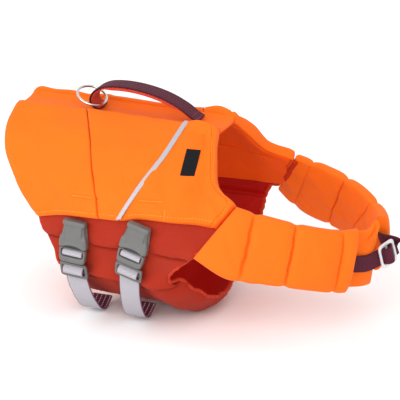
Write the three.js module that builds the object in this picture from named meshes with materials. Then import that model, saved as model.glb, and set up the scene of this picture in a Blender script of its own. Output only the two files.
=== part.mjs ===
// Dog life jacket, worn shape with no wearer, in millimetres.
// +X points to the head end, -Y to the near side (the wearer's right), +Z up.
// The origin lies on the inner face of the spine strip, at the middle of the back.
import * as THREE from 'three';

// Driving sizes
const CROWN_RADIUS = 104; // centre of the sections below the spine, and their height above it
const BELLY_DEPTH = 105; // from that centre down to the belly, inner face of the orange
const FOAM = 9; // full thickness of a back panel
const RIDGE_RISE = 2.5; // how far a foam panel stands up beside the spine
const SEAM_FOAM = 5.5; // thickness where two foam panels are sewn together
const HEM = 3.5; // thickness at a turned hem
const NECK_FOAM = 8.5; // thickness at the neck edge, where the foam runs to the binding
const NECK_RISE = 4; // how far the shoulder's foam stands up behind the neck edge
const SEAM_GAP = 0.3;
const UNDERLAP = 24; // how far the red side panel reaches up under the orange hem
const RED_WALL = 3;
const LAYER_GAP = 0.9; // clearance between curved layers
const SPINE_WALL = 5;
const SPINE_LIP = 4.5; // rise of the strip's edges up to the foam on both sides
const SPINE_HALF = 22; // half width of the flat spine strip
const BELLY_WEBBING = 25;
const CHEST_WEBBING = 20;
const WEBBING_WALL = 1.8;
const RING_RADIUS = 17;
const RING_WIRE = 3;
const TUBE_PUFF = 13; // a collar tube's swell outward at the middle of a channel
const TUBE_INSIDE = 8; // and inward
const TUBE_EDGE = 2.2; // half thickness at a tube's folded edges

// Torso sections, inner face of the orange: half width, and the power of the shoulder's curve,
// 2 for a round shoulder and 1 for a straight roof
const sections = [
  { x: -140, half: 84, power: 1.8 },
  { x: -75, half: 87, power: 1.8 },
  { x: -20, half: 102, power: 1.8 },
  { x: 40, half: 112, power: 1.75 },
  { x: 90, half: 117, power: 1.5 },
  { x: 118, half: 119, power: 1.18 },
  { x: 134, half: 119, power: 1.12 },
  { x: 150, half: 114, power: 1.2 },
  { x: 168, half: 114, power: 1.25 },
];

// Height of the orange hem along the near side
const hemHeights = [
  { x: -75, z: -101 },
  { x: -36, z: -91 },
  { x: 0, z: -87 },
  { x: 35, z: -84 },
  { x: 60, z: -79 },
  { x: 100, z: -78.5 },
  { x: 148, z: -80.5 },
];

// Edges of the back panels from the spine (down 0) to the hem (down 1)
const rearHem = [
  { down: 0, x: -129 },
  { down: 0.3, x: -129.5 },
  { down: 0.52, x: -125 },
  { down: 0.68, x: -112 },
  { down: 0.82, x: -98 },
  { down: 0.9, x: -87 },
  { down: 1, x: -73 },
];
const rearSeam = [
  { down: 0, x: -44 },
  { down: 0.5, x: -14 },
  { down: 0.85, x: 5 },
  { down: 1, x: 10.6 },
];
const pipingSeam = [
  { down: 0, x: 80 },
  { down: 0.45, x: 72 },
  { down: 0.75, x: 54 },
  { down: 1, x: 35.5 },
];
const neckEdge = [
  { down: 0, x: 118 },
  { down: 0.29, x: 121.5 },
  { down: 0.47, x: 127.5 },
  { down: 0.65, x: 136.5 },
  { down: 0.72, x: 148 },
  { down: 0.765, x: 161 },
  { down: 0.8, x: 164.5 },
  { down: 1, x: 147.4 },
];

// Edges of the red side panel from its tucked top (down 0) to the belly seam (down 1)
const redRear = [
  { down: 0, x: -84 },
  { down: 0.3, x: -75 },
  { down: 0.5, x: -67 },
  { down: 0.62, x: -59 },
  { down: 0.8, x: -51 },
  { down: 1, x: -48 },
];
// The near panel's armhole is pulled back, the far one hangs straighter
const nearRedFront = [
  { down: 0, x: 155 },
  { down: 0.22, x: 150 },
  { down: 0.42, x: 138 },
  { down: 0.57, x: 126.5 },
  { down: 0.68, x: 106 },
  { down: 0.79, x: 92 },
  { down: 0.88, x: 91 },
  { down: 1, x: 104 },
];
const farRedFront = [
  { down: 0, x: 155 },
  { down: 0.22, x: 150 },
  { down: 0.42, x: 136 },
  { down: 0.575, x: 121 },
  { down: 0.75, x: 117 },
  { down: 1, x: 112 },
];
const RED_BOTTOM = -167; // height of the seam between side panel and belly panel
const GATHER = 13; // how far elastic draws the front edge in, inside the armholes and under the chest
const GATHER_SPAN = 0.22; // share of the panels that it draws in

// Edges of the belly panel from the near seam (across 0) to the far seam (across 1)
const bellyRear = [
  { across: 0, x: -46 },
  { across: 0.25, x: -26 },
  { across: 0.5, x: -10 },
  { across: 0.75, x: -26 },
  { across: 1, x: -46 },
];
const bellyFront = [
  { across: 0, x: 103 },
  { across: 0.2, x: 116 },
  { across: 0.5, x: 118 },
  { across: 0.75, x: 111 },
  { across: 1, x: 111 },
];

// Collar tube: plan curves of its top and bottom edge, ellipses about the spine line
const tubeTop = { x: 150, reach: 149, half: 90 };
const tubeBottom = { x: 130, reach: 160, half: 128 };
const tubeStart = { top: 0.107, bottom: 0 }; // turn about the chest, in radians
// One tube: its turns at the end, the heights of both edges by turn, and its quilting seams by
// their share along the top edge and along the bottom edge. The far tube hangs wider.
const nearTube = {
  end: { top: 1.17, bottom: 1.17 },
  tops: [
    { turn: 0, z: -50 },
    { turn: 0.12, z: -56 },
    { turn: 0.35, z: -63 },
    { turn: 0.6, z: -71 },
    { turn: 1, z: -81 },
    { turn: 1.35, z: -82 },
  ],
  lows: [
    { turn: 0, z: -108 },
    { turn: 0.25, z: -129 },
    { turn: 0.5, z: -133 },
    { turn: 0.8, z: -142 },
    { turn: 1.1, z: -152 },
    { turn: 1.4, z: -157 },
  ],
  seams: [
    { top: 0, low: 0 },
    { top: 0.139, low: 0.285 },
    { top: 0.44, low: 0.553 },
    { top: 0.836, low: 0.889 },
    { top: 1, low: 1 },
  ],
};
const farTube = {
  end: { top: 1.44, bottom: 1.36 },
  tops: [
    { turn: 0, z: -50 },
    { turn: 0.12, z: -55 },
    { turn: 0.35, z: -61 },
    { turn: 0.6, z: -67.5 },
    { turn: 0.85, z: -75.5 },
    { turn: 1.1, z: -82 },
    { turn: 1.5, z: -82 },
  ],
  lows: [
    { turn: 0, z: -110 },
    { turn: 0.12, z: -126 },
    { turn: 0.25, z: -135 },
    { turn: 0.5, z: -141 },
    { turn: 0.8, z: -145 },
    { turn: 1.4, z: -154 },
  ],
  seams: [
    { top: 0, low: 0 },
    { top: 0.11, low: 0.1 },
    { top: 0.367, low: 0.324 },
    { top: 0.685, low: 0.5 },
    { top: 1, low: 1 },
  ],
};

const RED = '#c8422a';
const ORANGE = '#fc802a';
const BURGUNDY = '#5f2236';
const WEBBING_GREY = '#c8c3ca';
const PLASTIC_GREY = '#7c7f7b';

const colours = {
  orange_nylon: { color: ORANGE, roughness: 0.75 },
  red_nylon: { color: RED, roughness: 0.75 },
  burgundy_webbing: { color: BURGUNDY, roughness: 0.8 },
  grey_webbing: { color: WEBBING_GREY, roughness: 0.8 },
  red_lining: { color: '#cd4b3c', roughness: 0.8 },
  grey_plastic: { color: PLASTIC_GREY, roughness: 0.5 },
  reflective_tape: { color: '#cdc8ce', roughness: 0.4 },
  black_patch: { color: '#16161a', roughness: 0.6 },
  steel: { color: '#c9c9cc', roughness: 0.25, metalness: 1 },
};

const jacket = new THREE.Group();
jacket.name = 'dog_life_jacket';

// Value of a table's column at a place, eased between its rows by a cubic through them
function column(table, key, value, at) {
  let row = 0;
  while (row < table.length - 2 && at > table[row + 1][key]) {
    row += 1;
  }
  const left = table[row];
  const right = table[row + 1];
  const width = right[key] - left[key];
  const before = table[Math.max(row - 1, 0)];
  const after = table[Math.min(row + 2, table.length - 1)];
  const startSlope = (right[value] - before[value]) / (right[key] - before[key]);
  const endSlope = (after[value] - left[value]) / (after[key] - left[key]);
  const t = THREE.MathUtils.clamp((at - left[key]) / width, 0, 1);
  const t2 = t * t;
  const t3 = t2 * t;
  return (2 * t3 - 3 * t2 + 1) * left[value] + (t3 - 2 * t2 + t) * width * startSlope
    + (3 * t2 - 2 * t3) * right[value] + (t3 - t2) * width * endSlope;
}

// Point of the torso at station x; turn is 0 at the spine, pi at the belly, positive on the near side
// Above the centre it is a superellipse that starts at the edge of the flat spine strip
function torsoPoint(x, turn) {
  const half = column(sections, 'x', 'half', x);
  if (turn > Math.PI / 2) {
    return new THREE.Vector3(x, -half * Math.sin(turn), -CROWN_RADIUS + BELLY_DEPTH * Math.cos(turn));
  }
  const share = 2 / column(sections, 'x', 'power', x);
  const y = SPINE_HALF + SEAM_GAP + (half - SPINE_HALF - SEAM_GAP) * Math.sin(turn) ** share;
  return new THREE.Vector3(x, -y, CROWN_RADIUS * (Math.cos(turn) ** share - 1));
}

// Turn at which the near side of the torso passes a height at station x
function turnAtHeight(x, z) {
  if (z < -CROWN_RADIUS) {
    return Math.acos((z + CROWN_RADIUS) / BELLY_DEPTH);
  }
  return Math.acos((1 + z / CROWN_RADIUS) ** (column(sections, 'x', 'power', x) / 2));
}

// Swell of a padded panel: 0 at an edge, 1 from the given share of the span inward
function swell(t, startShare, endShare) {
  const rise = startShare > 0 ? Math.min(t / startShare, 1) : 1;
  const fall = endShare > 0 ? Math.min((1 - t) / endShare, 1) : 1;
  const least = Math.max(Math.min(rise, fall), 0);
  return Math.sqrt(1 - (1 - least) ** 2);
}

// Even steps from 0 to 1
function steps(count) {
  return Array.from({ length: count + 1 }, (_, i) => i / count);
}

// Closed wall over a base surface: outer(u, v) and inner(u, v) are offsets along its normal
function wallGeometry(base, us, vs, outer, inner) {
  const small = 1e-3;
  const positions = [];
  const normalAt = (u, v) => {
    const du = base(Math.min(u + small, 1), v).sub(base(Math.max(u - small, 0), v));
    const dv = base(u, Math.min(v + small, 1)).sub(base(u, Math.max(v - small, 0)));
    return dv.cross(du).normalize();
  };
  const rows = us.length;
  const cols = vs.length;
  for (const offset of [outer, inner]) {
    for (const u of us) {
      for (const v of vs) {
        const point = base(u, v).addScaledVector(normalAt(u, v), offset(u, v));
        positions.push(point.x, point.y, point.z);
      }
    }
  }
  const index = [];
  const at = (layer, i, j) => layer * rows * cols + i * cols + j;
  const quad = (a, b, c, d) => index.push(a, c, b, a, d, c);
  for (let i = 0; i < rows - 1; i += 1) {
    for (let j = 0; j < cols - 1; j += 1) {
      quad(at(0, i, j), at(0, i + 1, j), at(0, i + 1, j + 1), at(0, i, j + 1));
      quad(at(1, i, j), at(1, i, j + 1), at(1, i + 1, j + 1), at(1, i + 1, j));
    }
  }
  for (let i = 0; i < rows - 1; i += 1) {
    quad(at(0, i, 0), at(1, i, 0), at(1, i + 1, 0), at(0, i + 1, 0));
    quad(at(0, i, cols - 1), at(0, i + 1, cols - 1), at(1, i + 1, cols - 1), at(1, i, cols - 1));
  }
  for (let j = 0; j < cols - 1; j += 1) {
    quad(at(0, 0, j), at(0, 0, j + 1), at(1, 0, j + 1), at(1, 0, j));
    quad(at(0, rows - 1, j), at(1, rows - 1, j), at(1, rows - 1, j + 1), at(0, rows - 1, j + 1));
  }
  const geometry = new THREE.BufferGeometry();
  geometry.setAttribute('position', new THREE.Float32BufferAttribute(positions, 3));
  geometry.setIndex(index);
  return geometry;
}

// The same solid on the other side of the spine
function mirrored(geometry) {
  const copy = geometry.clone();
  copy.scale(1, -1, 1);
  const index = copy.index ? Array.from(copy.index.array)
    : Array.from({ length: copy.attributes.position.count }, (_, i) => i);
  for (let i = 0; i < index.length; i += 3) {
    [index[i + 1], index[i + 2]] = [index[i + 2], index[i + 1]];
  }
  copy.setIndex(index);
  return copy;
}

function addPiece(name, geometry, finish) {
  const mesh = new THREE.Mesh(geometry, new THREE.MeshStandardMaterial(colours[finish]));
  mesh.name = name;
  jacket.add(mesh);
  return mesh;
}

function addPair(name, geometry, finish) {
  addPiece(`${name}_near`, geometry, finish);
  addPiece(`${name}_far`, mirrored(geometry), finish);
}

// Back panels: base surface between two edges, from the spine strip down to the hem
function backBase(rear, front) {
  return (u, v) => {
    const x = THREE.MathUtils.lerp(column(rear, 'down', 'x', v), column(front, 'down', 'x', v), u);
    return torsoPoint(x, v * turnAtHeight(x, column(hemHeights, 'x', 'z', x)));
  };
}

function shifted(table, key, by) {
  return table.map((row) => ({ ...row, [key]: row[key] + by }));
}

const downs = [0, 0.04, 0.1, 0.2, 0.32, 0.44, 0.56, 0.68, 0.8, 0.9, 0.96, 1];

function backPanel(rear, front, columns, rearEdge, frontEdge, shoulder = 0) {
  const base = backBase(rear, front);
  const outer = (u, v) => {
    const along = swell(u, rearEdge.share, frontEdge.share);
    const down = swell(v, 0, 0.1);
    const ridge = RIDGE_RISE * (1 - THREE.MathUtils.smoothstep(v, 0, 0.22));
    const edge = u < 0.5 ? rearEdge.thick : frontEdge.thick;
    const least = Math.min(edge, HEM + (FOAM - HEM) * down);
    const rise = shoulder * THREE.MathUtils.smoothstep(u, 0.68, 0.95) * Math.sin(Math.PI * v) ** 2;
    return least + ridge + rise + (FOAM - least) * along * down;
  };
  return wallGeometry(base, columns, downs, outer, () => 0);
}

const seamEdge = { thick: SEAM_FOAM, share: 0.14 };
const looseEdge = { thick: HEM, share: 0.12 };
const neckRim = { thick: NECK_FOAM, share: 0.12 };
const rearColumns = [0, 0.06, 0.15, 0.3, 0.5, 0.7, 0.86, 0.94, 1];
const middleColumns = [0, 0.06, 0.15, 0.35, 0.55, 0.75, 0.87, 0.95, 1];

addPair('back_rear', backPanel(rearHem, shifted(rearSeam, 'x', -SEAM_GAP), rearColumns,
  looseEdge, seamEdge), 'orange_nylon');
addPair('back_middle', backPanel(rearSeam, shifted(pipingSeam, 'x', -SEAM_GAP), middleColumns,
  seamEdge, seamEdge), 'orange_nylon');
addPair('back_front', backPanel(pipingSeam, neckEdge, middleColumns,
  seamEdge, neckRim, NECK_RISE), 'orange_nylon');

// Spine strip: a shallow valley between the two ridges
function spineBase(u, v) {
  const x = THREE.MathUtils.lerp(rearHem[0].x, neckEdge[0].x, u);
  return new THREE.Vector3(x, THREE.MathUtils.lerp(SPINE_HALF, -SPINE_HALF, v), 0);
}
const spineRows = [0, 0.05, 0.13, 0.25, 0.5, 0.75, 0.87, 0.95, 1];
addPiece('spine_strip', wallGeometry(spineBase, steps(14), spineRows,
  (u, v) => SPINE_WALL + SPINE_LIP * (2 * v - 1) ** 4, () => 0), 'orange_nylon');

// Red side panels, tucked under the orange hem
function redBase(front) {
  return (u, v) => {
    const x = THREE.MathUtils.lerp(column(redRear, 'down', 'x', v), column(front, 'down', 'x', v), u);
    const top = turnAtHeight(x, column(hemHeights, 'x', 'z', x) + UNDERLAP);
    return torsoPoint(x, THREE.MathUtils.lerp(top, turnAtHeight(x, RED_BOTTOM), v));
  };
}
const redDowns = steps(10);
// Share of the gather at a place of a panel: a quarter circle inward up to its front edge
function gathered(u) {
  const along = THREE.MathUtils.clamp((u - 1 + GATHER_SPAN) / GATHER_SPAN, 0, 1);
  return 1 - Math.sqrt(1 - along * along);
}
const redColumns = [...steps(13).slice(0, -3), 0.82, 0.88, 0.93, 0.97, 1];
const redDrawn = (u, v) => GATHER * gathered(u) * THREE.MathUtils.smoothstep(v, 0.72, 1);
const redPanel = (front) => wallGeometry(redBase(front), redColumns, redDowns,
  (u, v) => -LAYER_GAP - redDrawn(u, v), (u, v) => -LAYER_GAP - RED_WALL - redDrawn(u, v));
addPiece('side_panel_near', redPanel(nearRedFront), 'red_nylon');
addPiece('side_panel_far', mirrored(redPanel(farRedFront)), 'red_nylon');

// Belly panel between the two side panels
const bellyTurn = turnAtHeight(0, RED_BOTTOM) + SEAM_GAP / BELLY_DEPTH;
function bellyBase(u, v) {
  const rear = column(bellyRear, 'across', 'x', v);
  const x = THREE.MathUtils.lerp(rear, column(bellyFront, 'across', 'x', v), u);
  return torsoPoint(x, THREE.MathUtils.lerp(bellyTurn, 2 * Math.PI - bellyTurn, v));
}
const bellyColumns = [...steps(8).slice(0, -1), 0.82, 0.88, 0.93, 0.97, 1];
addPiece('belly_panel', wallGeometry(bellyBase, bellyColumns, steps(14),
  (u) => -LAYER_GAP - GATHER * gathered(u), (u) => -LAYER_GAP - RED_WALL - GATHER * gathered(u)),
'red_nylon');

// Collar tube: a quilted band round the chest, its base surface between two plan curves
function tubeCurve(plan, heights, turn) {
  return new THREE.Vector3(plan.x + plan.reach * Math.sin(turn), -plan.half * Math.cos(turn),
    column(heights, 'turn', 'z', turn));
}
function tubeBase(tube) {
  return (u, v) => {
    const topTurn = THREE.MathUtils.lerp(tubeStart.top, tube.end.top, u);
    const lowShare = column(tube.seams, 'top', 'low', u);
    const lowTurn = THREE.MathUtils.lerp(tubeStart.bottom, tube.end.bottom, lowShare);
    return tubeCurve(tubeTop, tube.tops, topTurn).lerp(tubeCurve(tubeBottom, tube.lows, lowTurn), v);
  };
}
// Swell of one quilted channel, 0 on its seams
function channelSwell(seams, u) {
  let k = 0;
  while (k < seams.length - 2 && u > seams[k + 1].top) {
    k += 1;
  }
  const t = (u - seams[k].top) / (seams[k + 1].top - seams[k].top);
  return Math.sqrt(Math.max(1 - (2 * t - 1) ** 2, 0));
}
const QUILT_DEPTH = 0.38; // share of the swell lost on a quilting seam
function tubeColumns(seams) {
  const list = [];
  for (let k = 0; k < seams.length - 1; k += 1) {
    const start = seams[k].top;
    const span = seams[k + 1].top - start;
    const shares = span < 0.2 ? [0, 0.2, 0.5, 0.8] : [0, 0.08, 0.22, 0.5, 0.78, 0.92];
    shares.forEach((share) => list.push(start + share * span));
  }
  list.push(1);
  return list;
}
const tubeDowns = [0, 0.06, 0.16, 0.3, 0.5, 0.7, 0.84, 0.94, 1];
function tubeGeometry(tube) {
  const band = (v) => Math.sqrt(Math.max(1 - (2 * v - 1) ** 2, 0));
  const ends = (u) => swell(u, 0.1, 0.05);
  const outer = (u, v) => TUBE_EDGE + (TUBE_PUFF - TUBE_EDGE) * band(v)
    * (1 - QUILT_DEPTH + QUILT_DEPTH * channelSwell(tube.seams, u)) * (0.45 + 0.55 * ends(u));
  const inner = (u, v) => -TUBE_EDGE - (TUBE_INSIDE - TUBE_EDGE) * band(v) * (0.3 + 0.7 * ends(u));
  return wallGeometry(tubeBase(tube), tubeColumns(tube.seams), tubeDowns, outer, inner);
}
addPiece('collar_near', tubeGeometry(nearTube), 'orange_nylon');
addPiece('collar_far', mirrored(tubeGeometry(farTube)), 'orange_nylon');

// Chest pad: from behind the near tube's end round the front of the chest
const padTurns = { start: 0.98, end: 1.58 };
const padEdges = [
  { turn: 0.95, inset: 14, top: -84, low: -150 },
  { turn: 1.2, inset: 11.5, top: -88, low: -155 },
  { turn: 1.4, inset: 4, top: -90, low: -158 },
  { turn: 1.6, inset: 0, top: -82, low: -160 },
];
const PAD_REACH = 148;
const PAD_DROP_BACK = 9; // how far the pad's bottom lies behind its top
const PAD_FLARE = 1.1; // width of its bottom against its top
const PAD_OUT = 5;
const PAD_IN = 5;
const PAD_EDGE = 1.8;
function padBase(u, v) {
  const turn = THREE.MathUtils.lerp(padTurns.start, padTurns.end, u);
  const inset = column(padEdges, 'turn', 'inset', turn);
  const reach = PAD_REACH - inset;
  const half = tubeTop.half - inset;
  const top = new THREE.Vector3(tubeTop.x + reach * Math.sin(turn), -half * Math.cos(turn),
    column(padEdges, 'turn', 'top', turn));
  const low = new THREE.Vector3(top.x - PAD_DROP_BACK, top.y * PAD_FLARE,
    column(padEdges, 'turn', 'low', turn));
  return top.lerp(low, v);
}
const padSwell = (u, v) => swell(u, 0.2, 0.12) * swell(v, 0.2, 0.2);
addPiece('chest_pad', wallGeometry(padBase, [0, 0.05, 0.12, 0.25, 0.4, 0.55, 0.7, 0.85, 0.94, 1],
  [0, 0.07, 0.16, 0.35, 0.5, 0.65, 0.84, 0.93, 1],
  (u, v) => PAD_EDGE + (PAD_OUT - PAD_EDGE) * padSwell(u, v),
  (u, v) => -PAD_EDGE - (PAD_IN - PAD_EDGE) * padSwell(u, v)), 'orange_nylon');

// Webbing along a smooth route; across(t) gives its width direction, outer and inner its two faces
const halfWall = () => WEBBING_WALL / 2;
const minusHalfWall = () => -WEBBING_WALL / 2;
function webbing(route, across, width, outer, inner, stepCount) {
  const curve = new THREE.CatmullRomCurve3(route, false, 'centripetal');
  const base = (u, v) => curve.getPointAt(u).addScaledVector(across(u), (0.5 - v) * width);
  return wallGeometry(base, steps(stepCount), [0, 1], outer, inner);
}

// Handle: webbing with a lining strip inside it, a low arch that curls under at the rear
const HANDLE_WIDTH = 24;
const HANDLE_WALL = 2;
const LINING_WALL = 4; // padding under the grip
const LINING_END = 1.5; // and where it is sewn down or holds the ring
const handleRoute = [
  { x: -24, z: 7.6 },
  { x: -32, z: 7.8 },
  { x: -40.5, z: 10.5 },
  { x: -43.8, z: 17 },
  { x: -40, z: 26 },
  { x: -29, z: 33 },
  { x: -12, z: 36 },
  { x: 16, z: 35 },
  { x: 44, z: 29 },
  { x: 66, z: 19.5 },
  { x: 80, z: 11 },
  { x: 90, z: 7.8 },
  { x: 98, z: 7.4 },
].map((row) => new THREE.Vector3(row.x, 0, row.z));
const acrossSpine = () => new THREE.Vector3(0, 1, 0);
addPiece('handle_webbing', webbing(handleRoute, acrossSpine, HANDLE_WIDTH, () => HANDLE_WALL,
  () => 0, 44), 'burgundy_webbing');
const liningFull = (u) => THREE.MathUtils.smoothstep(u, 0.26, 0.36)
  * (1 - THREE.MathUtils.smoothstep(u, 0.78, 0.86));
const liningInner = (u) => -SEAM_GAP - THREE.MathUtils.lerp(LINING_END, LINING_WALL, liningFull(u));
addPiece('handle_lining', webbing(handleRoute, acrossSpine, HANDLE_WIDTH - 2, () => -SEAM_GAP,
  liningInner, 44), 'red_lining');

// Lead ring, threaded on the handle's rear leg, and its swing about the leg
const ringCentre = new THREE.Vector3(-47, 0, 18.5);
const ringNormal = new THREE.Vector3(0.34, -0.2, 0.92).normalize();
const ring = addPiece('lead_ring', new THREE.TorusGeometry(RING_RADIUS, RING_WIRE / 2, 10, 40), 'steel');
ring.position.copy(ringCentre);
ring.quaternion.setFromUnitVectors(new THREE.Vector3(0, 0, 1), ringNormal);

// Reflective strips lie over the seam of middle and front section, made from the panel's points
const STRIP_WIDTH = 6;
const STRIP_WALL = 0.8;
function stripBase(u, v) {
  const down = 0.015 + 0.97 * u;
  const seam = column(pipingSeam, 'down', 'x', down) - SEAM_GAP / 2;
  const x = seam + (0.5 - v) * STRIP_WIDTH;
  return torsoPoint(x, down * turnAtHeight(x, column(hemHeights, 'x', 'z', x)));
}
const stripLift = (u) => FOAM + 0.5 + RIDGE_RISE * (1 - THREE.MathUtils.smoothstep(u, 0, 0.22));
addPair('reflective_strip', wallGeometry(stripBase, steps(18), [0, 1],
  (u) => stripLift(u) + STRIP_WALL, stripLift), 'reflective_tape');

// Label patch on the near front section, left blank
const label = { x: 100, down: 0.505, width: 13.6, length: 33, wall: 1, tilt: -0.05 };
function labelBase(u, v) {
  const along = (0.5 - v) * label.width;
  const below = (u - 0.5) * label.length;
  const x = label.x + along - label.tilt * below;
  const hem = turnAtHeight(x, column(hemHeights, 'x', 'z', x));
  const middle = torsoPoint(x, label.down * hem);
  const next = torsoPoint(x, (label.down + 0.01) * hem);
  return torsoPoint(x, (label.down + 0.01 * below / middle.distanceTo(next)) * hem);
}
addPiece('label_patch', wallGeometry(labelBase, steps(5), steps(2),
  () => FOAM + 0.5 + label.wall, () => FOAM + 0.5), 'black_patch');

// Belly buckles, their sliders and webbing. Local axes: across, up, and out from the wearer
const buckles = [
  { name: 'rear', x: -20, y: -104.4, tilt: 0.08, loopX: -15, lowY: -64 },
  { name: 'front', x: 63, y: -115.5, tilt: 0.27, loopX: 42, lowY: -72 },
];
const socket = { top: 27, wide: 34, shoulder: 8, flare: 23, length: 32, thick: 11 };
const plug = {
  length: 18, thick: 7, out: 2.4, low: 31, windowTop: 0.8, window: 10.4, windowHalf: 13.1, corner: 3,
};
const SOCKET_TUCK = 2.2; // how far a socket's top lies below the hem
const SLIDER_LEAN = 0.42; // the slider tips in under the belly, in radians
const slider = {
  drop: 51.5, sunk: 2, length: 21, wide: 33, thick: 3.2, open: 13.2, bar: 3.2, middle: 3.4,
};

function outline(points) {
  return new THREE.Shape(points.map(([a, d]) => new THREE.Vector2(a, -d)));
}
function symmetric(points) {
  const back = points.slice().reverse().map(([a, d]) => [-a, d]);
  return outline([...points, ...back]);
}
function rectangle(half, from, to) {
  return new THREE.Path([new THREE.Vector2(-half, -from), new THREE.Vector2(-half, -to),
    new THREE.Vector2(half, -to), new THREE.Vector2(half, -from)]);
}
function plate(shape, thick, out, place) {
  const geometry = new THREE.ExtrudeGeometry(shape, { depth: thick, bevelEnabled: false });
  geometry.translate(0, 0, out);
  return geometry.applyMatrix4(place);
}

function addBuckle(row) {
  const across = new THREE.Vector3(Math.cos(row.tilt), 0, -Math.sin(row.tilt));
  const up = new THREE.Vector3(Math.sin(row.tilt), 0, Math.cos(row.tilt));
  const out = new THREE.Vector3(0, -1, 0);
  const top = new THREE.Vector3(row.x, row.y, column(hemHeights, 'x', 'z', row.x) - SOCKET_TUCK);
  const place = new THREE.Matrix4().makeBasis(across, up, out).setPosition(top);
  const at = (down, lift) => top.clone().addScaledVector(up, -down).addScaledVector(out, lift);
  const leanUp = up.clone().applyAxisAngle(across, SLIDER_LEAN);
  const leanOut = out.clone().applyAxisAngle(across, SLIDER_LEAN);
  const leanTop = at(slider.drop, slider.sunk);
  const leanPlace = new THREE.Matrix4().makeBasis(across, leanUp, leanOut).setPosition(leanTop);
  const leanAt = (down, lift) => leanTop.clone().addScaledVector(leanUp, -down)
    .addScaledVector(leanOut, lift);

  addPiece(`buckle_socket_${row.name}`, plate(symmetric([
    [socket.top / 2, 0], [socket.top / 2 + 0.5, socket.shoulder], [socket.wide / 2 - 0.4, socket.flare],
    [socket.wide / 2, socket.length]]), socket.thick, 0, place), 'grey_plastic');

  const plugTop = socket.length + SEAM_GAP;
  const plugLow = plugTop + plug.length;
  const plugShape = symmetric([[socket.wide / 2 - 0.5, plugTop],
    [plug.low / 2 + 0.8, plugLow - plug.corner], [plug.low / 2 - 0.5, plugLow]]);
  const window = [plugTop + plug.windowTop, plugTop + plug.windowTop + plug.window];
  plugShape.holes.push(rectangle(plug.windowHalf, window[0], window[1]));
  addPiece(`buckle_plug_${row.name}`, plate(plugShape, plug.thick, plug.out, place), 'grey_plastic');

  const frame = symmetric([[slider.wide / 2, 0], [slider.wide / 2, slider.length]]);
  const slots = slider.length - 2 * slider.bar - slider.middle;
  const first = slider.bar;
  const end = slider.length;
  frame.holes.push(rectangle(slider.open, first, first + slots / 2));
  frame.holes.push(rectangle(slider.open, first + slots / 2 + slider.middle, end - slider.bar));
  addPiece(`belly_slider_${row.name}`, plate(frame, slider.thick, 0, leanPlace), 'grey_plastic');

  // Webbing: rolled in the plug's window, behind its bar, and round the slider's middle bar
  const middle = end / 2;
  const over = slider.thick + 2;
  const slotStep = (slots / 2 + slider.middle) / 2 + 0.2;
  const route = [at(window[0] + 4.4, 1.6), at(window[0] + 2.6, 4.4), at(window[0] + 3.6, 7.6),
    at(window[0] + 6, 8.9), at(window[1] - 1.9, 7.2), at(window[1] - 2, 3.2), at(window[1] + 0.4, 0.5),
    at(window[1] + 4, 0.5), at(slider.drop - 2, 0.3), leanAt(0.5, -1.9), leanAt(first - 0.2, -1.7),
    leanAt(middle - slotStep, slider.thick / 2), leanAt(middle - 2.8, over), leanAt(middle, over + 0.9),
    leanAt(middle + 2.8, over), leanAt(middle + slotStep, slider.thick / 2),
    leanAt(end - slider.bar + 0.2, -1.7), leanAt(end + 2, -2)];
  const low = route[route.length - 1];
  const bellyHalf = column(sections, 'x', 'half', row.loopX);
  const finish = row.lowY + 18;
  const bellyZ = -CROWN_RADIUS - BELLY_DEPTH * Math.sqrt(1 - (finish / bellyHalf) ** 2);
  const spanY = row.lowY - low.y;
  const bottom = bellyZ - 9;
  for (const [shareY, shareZ] of [[0.22, 0.32], [0.52, 0.68], [0.78, 0.92], [1.02, 1]]) {
    route.push(new THREE.Vector3(THREE.MathUtils.lerp(low.x, row.loopX, shareZ),
      low.y + shareY * spanY, THREE.MathUtils.lerp(low.z, bottom, shareZ)));
  }
  route.push(new THREE.Vector3(row.loopX, row.lowY + 10, bottom + 2.5));
  route.push(new THREE.Vector3(row.loopX, finish - 1, bellyZ - 2.2));
  const level = new THREE.Vector3(1, 0, 0);
  const turnAcross = (t) => across.clone().negate()
    .lerp(level.clone().negate(), THREE.MathUtils.smoothstep(t, 0.45, 0.7)).normalize();
  addPiece(`belly_strap_${row.name}`, webbing(route, turnAcross, BELLY_WEBBING, halfWall,
    minusHalfWall, 60), 'grey_webbing');
}
buckles.forEach(addBuckle);

// Chest slider and the two lengths of chest webbing
const chestSlider = {
  centre: [309.5, 3, -122], length: 24, wide: 30, thick: 2.6, bar: 3.2, open: 10.6, corner: 2.5,
};
const alongSlider = new THREE.Vector3(0.42, 0.86, 0.28).normalize();
const upSlider = new THREE.Vector3(0, 0, 1).addScaledVector(alongSlider, -alongSlider.z).normalize();
const outSlider = alongSlider.clone().cross(upSlider);
const sliderPlace = new THREE.Matrix4().makeBasis(upSlider, alongSlider.clone().negate(), outSlider)
  .setPosition(...chestSlider.centre);
const sliderHalf = chestSlider.length / 2;
const sliderSide = chestSlider.wide / 2;
const { corner } = chestSlider;
const sliderFrame = symmetric([[sliderSide - corner, -sliderHalf], [sliderSide, corner - sliderHalf],
  [sliderSide, sliderHalf - corner], [sliderSide - corner, sliderHalf]]);
for (const side of [-1, 1]) {
  const edges = [side * (sliderHalf - chestSlider.bar), side * chestSlider.bar / 2].sort((a, b) => a - b);
  sliderFrame.holes.push(rectangle(chestSlider.open, edges[0], edges[1]));
}
const onSlider = (along, lift) => new THREE.Vector3(...chestSlider.centre)
  .addScaledVector(alongSlider, along).addScaledVector(outSlider, lift);
addPiece('chest_slider', plate(sliderFrame, chestSlider.thick, -chestSlider.thick / 2, sliderPlace),
  'steel');

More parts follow.
